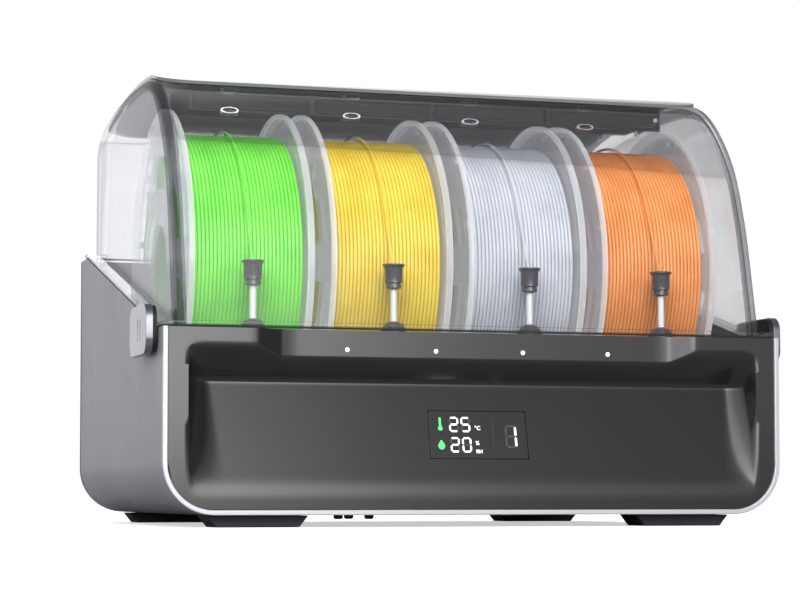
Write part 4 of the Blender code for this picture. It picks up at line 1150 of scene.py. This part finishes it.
def lid_shape(steps=9, edge_steps=8):
    """The clear lid: a thin dome, its foot turned out into a flange with eased edges."""
    outer = lid_rows(0.0, FLANGE_TOP, steps, edge_steps)
    inner = lid_rows(LID_WALL, LID_FOOT, steps, edge_steps)
    ease = 0.0004
    loops = [rim_loop(outer, FLANGE_TOP)]
    loops.append(flange_loop(loops[0], edge_steps, FLANGE_TOP, ease))
    loops.append(flange_loop(loops[0], edge_steps, FLANGE_TOP - ease))
    loops.append(flange_loop(loops[0], edge_steps, LID_FOOT + ease))
    loops.append(flange_loop(loops[0], edge_steps, LID_FOOT, ease))
    loops.append(rim_loop(inner, LID_FOOT))
    shape = bmesh.new()
    known = {}

    def corner(point):
        key = tuple(round(value, 7) for value in point)
        if key not in known:
            known[key] = shape.verts.new(point)
        return known[key]

    def face(points, part=0):
        corners = list(dict.fromkeys(corner(point) for point in points))
        if len(corners) > 2:
            shape.faces.new(corners).material_index = part

    for rows in (outer, inner):
        for s, (row, after) in enumerate(zip(rows, rows[1:])):
            for k in range(len(row) - 1):
                y, z = row[k][1:]
                # Painted shade: rounded edge strips in the lid's front part take the darker copy of the clear
                # plastic.
                part = 1 if s != edge_steps and y < at(EDGE_SHADE_REAR) else 0
                if part == 0 and y > at(ROOF_START) and z > ROOF_LOW:
                    part = 2
                face((row[k], row[k + 1], after[k + 1], after[k]), part)
    for rows, loop in ((outer, loops[0]), (inner, loops[-1])):
        count = len(rows)
        face(rows[0] + loop[-2:])
        face(list(reversed(rows[-1])) + loop[count : count + 2])
    for loop, after in zip(loops, loops[1:]):
        for k in range(len(loop)):
            n = (k + 1) % len(loop)
            face((loop[k], loop[n], after[n], after[k]))
    return shape


def roof_height(y):
    """Height of the lid's roof at a depth."""
    line = [(at(deep), z) for deep, z in smooth_line(LID_OUTLINE, 12)]
    for (y0, z0), (y1, z1) in zip(line, line[1:]):
        if y0 <= y <= y1:
            return z0 + (z1 - z0) * (y - y0) / (y1 - y0)
    return LID_CROWN


def cap_rows(lift, steps=8, count=40):
    """Rows of points over the roof, lifted off the lid, the cap's corners rounded in plan."""
    turns = [math.pi / 2 * k / steps for k in range(steps + 1)]
    wide, deep = CAP_CORNER
    half_row = [(CAP_HALF - wide * (1 - math.cos(t)), deep * (1 - math.sin(t))) for t in turns]
    plan = [(-x, inset) for x, inset in half_row] + [(x, inset) for x, inset in reversed(half_row)]
    rows = []
    for x, inset in plan:
        front, rear = at(CAP_FRONT) + inset, at(CAP_REAR) - inset
        ys = [front + (rear - front) * k / count for k in range(count + 1)]
        row = inset_line([(y, roof_height(y)) for y in ys], -lift)
        rows.append([(x, y, z) for y, z in row])
    return rows


def build_tray(looks):
    """The desiccant tray: four boxes in one frame, upright in front and hollowed round the spools beneath."""
    half, front, rear, foot = TRAY_HIGH.x, TRAY_LOW.y, TRAY_HIGH.y, TRAY_LOW.z
    roof = inset_line([(at(deep), z) for deep, z in smooth_line(LID_OUTLINE, 9)], LID_WALL + TRAY_GAP)
    top = [point for point in roof if front + 0.002 < point[0] < rear - 0.001]
    widest = math.acos((front - SPOOL_Y) / TRAY_REACH) - math.pi / 2
    turns = [math.pi / 2 + widest * k / 12 for k in range(13)]
    outline = [(rear, SPOOL_Z + TRAY_REACH)]
    outline += arc((SPOOL_Y, SPOOL_Z), TRAY_REACH, turns)
    outline += [(front, top[0][1] - 0.0012)] + top + [(rear, top[-1][1] - 0.0010)]
    bed = prism(outline, -half, half, "X")
    piece("desiccant_bed", bed, looks["tray"], "lid", ("desiccant_tray",))
    section = half / 2
    low, high = foot + 0.0006, top[0][1] - 0.0030
    doors, ribs, tabs = [], [], []
    for k in range(4):
        centre = -half + (k + 0.5) * section
        size = (section - 0.0060, high - low - 0.0020)
        plan = rounded_rectangle((centre, (low + high) / 2), size, 0.0020)
        doors.append(prism(plan, front - 0.0010, front + 0.0004, "Y"))
        for z in (low + 0.0030, high - 0.0030):
            reach = section / 2 - 0.005
            near = (centre - reach, front - 0.0016, z - 0.0004)
            ribs.append(box(near, (centre + reach, front + 0.0002, z + 0.0004)))
        for z in (low + 0.0002, high - 0.0004):
            ring = turned(((0.0, 0.0026), (0.0, 0.0042), (-0.0012, 0.0038), (-0.0012, 0.0030)), 32, "Y")
            ring = moved(ring, Matrix.Diagonal((1.5, 1.0, 0.5, 1.0)))
            tabs.append(shifted(ring, x=centre - 0.0135, y=front - 0.0008, z=z))
    for k in range(5):
        x = -half + k * section
        left, right = max(-half, x - 0.0016), min(half, x + 0.0016)
        ribs.append(box((left, front - 0.0018, low), (right, front + 0.0004, high)))
    piece("desiccant_doors", merged(doors), looks["tray"], "lid", bevel=0.0004)
    piece("desiccant_ribs", merged(ribs), looks["dark"], "lid", bevel=0.0003)
    piece("desiccant_tabs", merged(tabs), looks["chrome"], "lid")
    screw = shifted(rod(0.0016, -0.0026, 0.0002, 32, "Y"), x=half - 0.004, y=front, z=(low + high) / 2)
    piece("tray_screw", screw, looks["chrome"], "lid", bevel=0.0002)


def build_lid(looks):
    lid = piece("clear_lid", lid_shape(), looks["lid"], "lid", ("lid_shell",), smooth=38.0)
    lid.data.materials.append(looks["lid_edge_painted_shade"])
    lid.data.materials.append(looks["lid_roof"])
    cap = closed_sheet(cap_rows(GAP + CAP_THICK), cap_rows(GAP))
    piece("roof_cap", cap, looks["cap"], "lid", ("lid_cap",), smooth=40.0)
    build_tray(looks)
    paint(looks["rubber"], "lid_gasket")
    paint(looks["cover"], "lid_hinge_rail")
    paint(looks["steel"], "hinge_rod")


# ---- Spools and windings ----


def flange_mesh(side):
    """One flange: a disc with a bead at its rim, round holes near the rim and slots nearer the hub."""
    rim, bead, ease = SPOOL_RADIUS, 0.0012, 0.0005
    inside, outside = SPOOL_HALF - FLANGE_THICK, SPOOL_HALF
    half_profile = (
        (inside, BORE_RADIUS),
        (inside, rim - 0.0030),
        (inside - bead, rim - 0.0022),
        (inside - bead, rim - 0.0006),
        (inside - bead + ease, rim),
        (outside - ease, rim),
        (outside, rim - 0.0006),
        (outside, BORE_RADIUS),
    )
    profile = [(side * along, radius) for along, radius in half_profile]
    near, far = sorted((side * inside, side * outside))
    disc = turned(profile, 96, "X")
    holes = []
    for k in range(12):
        angle = 2 * math.pi * (k + 0.5) / 12
        y, z = FLANGE_HOLE_RING * math.cos(angle), FLANGE_HOLE_RING * math.sin(angle)
        holes.append(shifted(rod(FLANGE_HOLE_RADIUS, near - 0.004, far + 0.004, 16, "X"), y=y, z=z))
    for k in range(6):
        start, end = 2 * math.pi * k / 6 + 0.18, 2 * math.pi * (k + 1) / 6 - 0.18
        outline = []
        for radius, first, last in ((FLANGE_SLOT_OUTER, start, end), (FLANGE_SLOT_INNER, end, start)):
            outline += arc((0.0, 0.0), radius, [first + (last - first) * step / 8 for step in range(9)])
        holes.append(prism(outline, near - 0.004, far + 0.004, "X"))
    return cut(disc, merged(holes))


def spool_mesh(look, rim_highlight_look):
    """A clear spool: two flanges and a hub tube, drawn about its own axis."""
    inner = SPOOL_HALF - FLANGE_THICK + 0.0002
    tube = ((-inner, CORE_INNER), (-inner, CORE_OUTER), (inner, CORE_OUTER), (inner, CORE_INNER))
    hub = turned(tube, 96, "X")
    mesh = mesh_of("clear_spool", merged([flange_mesh(-1), flange_mesh(1), hub]), look)
    mesh.materials.append(rim_highlight_look)
    # Painted highlight: faces at the flange rims take the whiter, glowing copy of the spool plastic.
    for face in mesh.polygons:
        if math.hypot(face.center.y, face.center.z) > SPOOL_RADIUS - 0.0024:
            face.material_index = 1
    return mesh


def winding_profile():
    """Round turns of filament side by side, closed on the hub."""
    half = SPOOL_HALF - FLANGE_THICK - 0.0010
    pitch = 2 * half / WINDING_TURNS
    crown = WINDING_RADIUS - 0.0010
    profile = [(-half, CORE_OUTER + GAP)]
    for k in range(WINDING_TURNS):
        for s in range(7):
            angle = math.pi * (s + 0.25) / 7
            x = -half + pitch * (k + 0.5) - pitch * 0.5 * math.cos(angle)
            profile.append((x, crown - pitch * 0.42 * (1 - math.sin(angle))))
    profile.append((half, CORE_OUTER + GAP))
    return profile


def strand_points(x):
    """The strand's route: out of the winding's top, over its front and down into the funnel."""
    radius = WINDING_RADIUS + 0.0004 + STRAND_RADIUS
    mouth = FUNNEL_LOW.z + 0.011
    away = math.hypot(INLET_Y - SPOOL_Y, mouth - SPOOL_Z)
    bearing = math.atan2(mouth - SPOOL_Z, INLET_Y - SPOOL_Y) % (2 * math.pi)
    leave = bearing - math.acos(radius / away)
    turns = [STRAND_START + (leave - STRAND_START) * k / 48 for k in range(49)]
    points = [(x, y, z) for y, z in arc((SPOOL_Y, SPOOL_Z), radius, turns)]
    return points + [(x, INLET_Y, z) for z in (mouth, mouth - 0.004, 0.112)]


def build_spools(looks):
    spool = spool_mesh(looks["spool"], looks["spool_rim_painted_highlight"])
    winding = mesh_of("filament_winding", turned(winding_profile(), 120, "X"), looks["filament_1"])
    for number, x in SPOOLS:
        centre = (x, SPOOL_Y, SPOOL_Z)
        body = f"spool_{number}"
        piece(f"clear_spool_{number}", spool, None, body, (body,), centre, smooth=35.0)
        slot = f"filament_{number}"
        look = looks[slot]
        nodes = (f"winding_{number}",)
        made = piece(f"filament_winding_{number}", winding, None, body, nodes, centre, smooth=70.0)
        made.material_slots[0].link = "OBJECT"
        made.material_slots[0].material = look
        build_strand(number, x, look)


def build_strand(number, x, look):
    curve = bpy.data.curves.new(f"strand_{number}", "CURVE")
    curve.dimensions = "3D"
    curve.bevel_depth = STRAND_RADIUS
    curve.bevel_resolution = 4
    curve.use_fill_caps = True
    points = strand_points(x)
    line = curve.splines.new("POLY")
    line.points.add(len(points) - 1)
    for item, point in zip(line.points, points):
        item.co = (*point, 1.0)
    line.use_smooth = True
    curve.materials.append(look)
    made = new_object(f"strand_{number}", curve)
    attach(made, "root")
    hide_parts(f"filament_strand_{number}")


# ---- Inlets and the tub's fittings ----


def build_inlets(looks):
    low = FUNNEL_LOW.z
    foot_ring = [(0.0, 0.0021), (0.0, 0.0043), (0.0004, 0.00475), (0.0024, 0.00475), (0.0027, 0.0043)]
    cup = [(0.0031, 0.0043), (0.0035, 0.00540), (0.0118, 0.00555), (0.0130, 0.0060), (0.0139, 0.0069)]
    lip = [(0.0144, 0.0069), (0.0147, 0.0066), (0.0147, 0.0061), (0.0125, 0.0048), (0.0065, 0.0021)]
    funnel = foot_ring + cup + lip
    tube_top = low - GAP
    for number, x in SPOOLS:
        centre = (x, INLET_Y, low)
        nodes = (f"inlet_funnel_{number}",)
        cup = turned(funnel, 48, "Z")
        piece(f"funnel_{number}", cup, looks["funnel"], "root", nodes, centre)
        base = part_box(f"inlet_tube_{number}")[0].z
        tube = [(base, 0.00125), (base, 0.002), (tube_top - 0.0003, 0.002)]
        tube = turned(tube + [(tube_top, 0.0018), (tube_top, 0.00125)], 32, "Z")
        nodes = (f"inlet_tube_{number}",)
        centre = (x, INLET_Y, 0.0)
        piece(f"feed_tube_{number}", tube, looks["tube"], "root", nodes, centre)
        collar = [(DECK_TOP, 0.0023), (DECK_TOP, 0.0078), (0.1150, 0.0078)]
        turns = [t * math.pi / 22 for t in range(1, 9)]
        collar += [(0.1150 + 0.0074 * math.sin(t), 0.0078 * math.cos(t)) for t in turns]
        collar.append((0.1220, 0.0023))
        collar = turned(collar, 48, "Z")
        piece(f"tube_coupler_{number}", collar, looks["dark"], "root", location=centre)


def paint_frame_nodes(looks):
    paint(looks["tub"], "inner_tub")
    paint(looks["steel"], "front_axle", "rear_axle")
    paint(looks["rubber"], *(f"{row}_roller_{n}" for row in ("front", "rear") for n in range(1, 5)))
    paint(looks["dark"], "fan_frame", "fan_rotor", "outlet_fitting", *(f"feeder_{n}" for n in range(1, 5)))
    paint(looks["aluminium"], "heater_block")
    paint(looks["circuit"], "main_board", "display_board")


def main():
    build_camera()
    build_floor()
    build_world()
    build_lights()
    looks = make_looks()
    build_casing(looks)
    build_rear(looks)
    build_feet(looks)
    build_front(looks)
    build_latches(looks)
    build_lid(looks)
    build_spools(looks)
    build_inlets(looks)
    paint_frame_nodes(looks)


main()
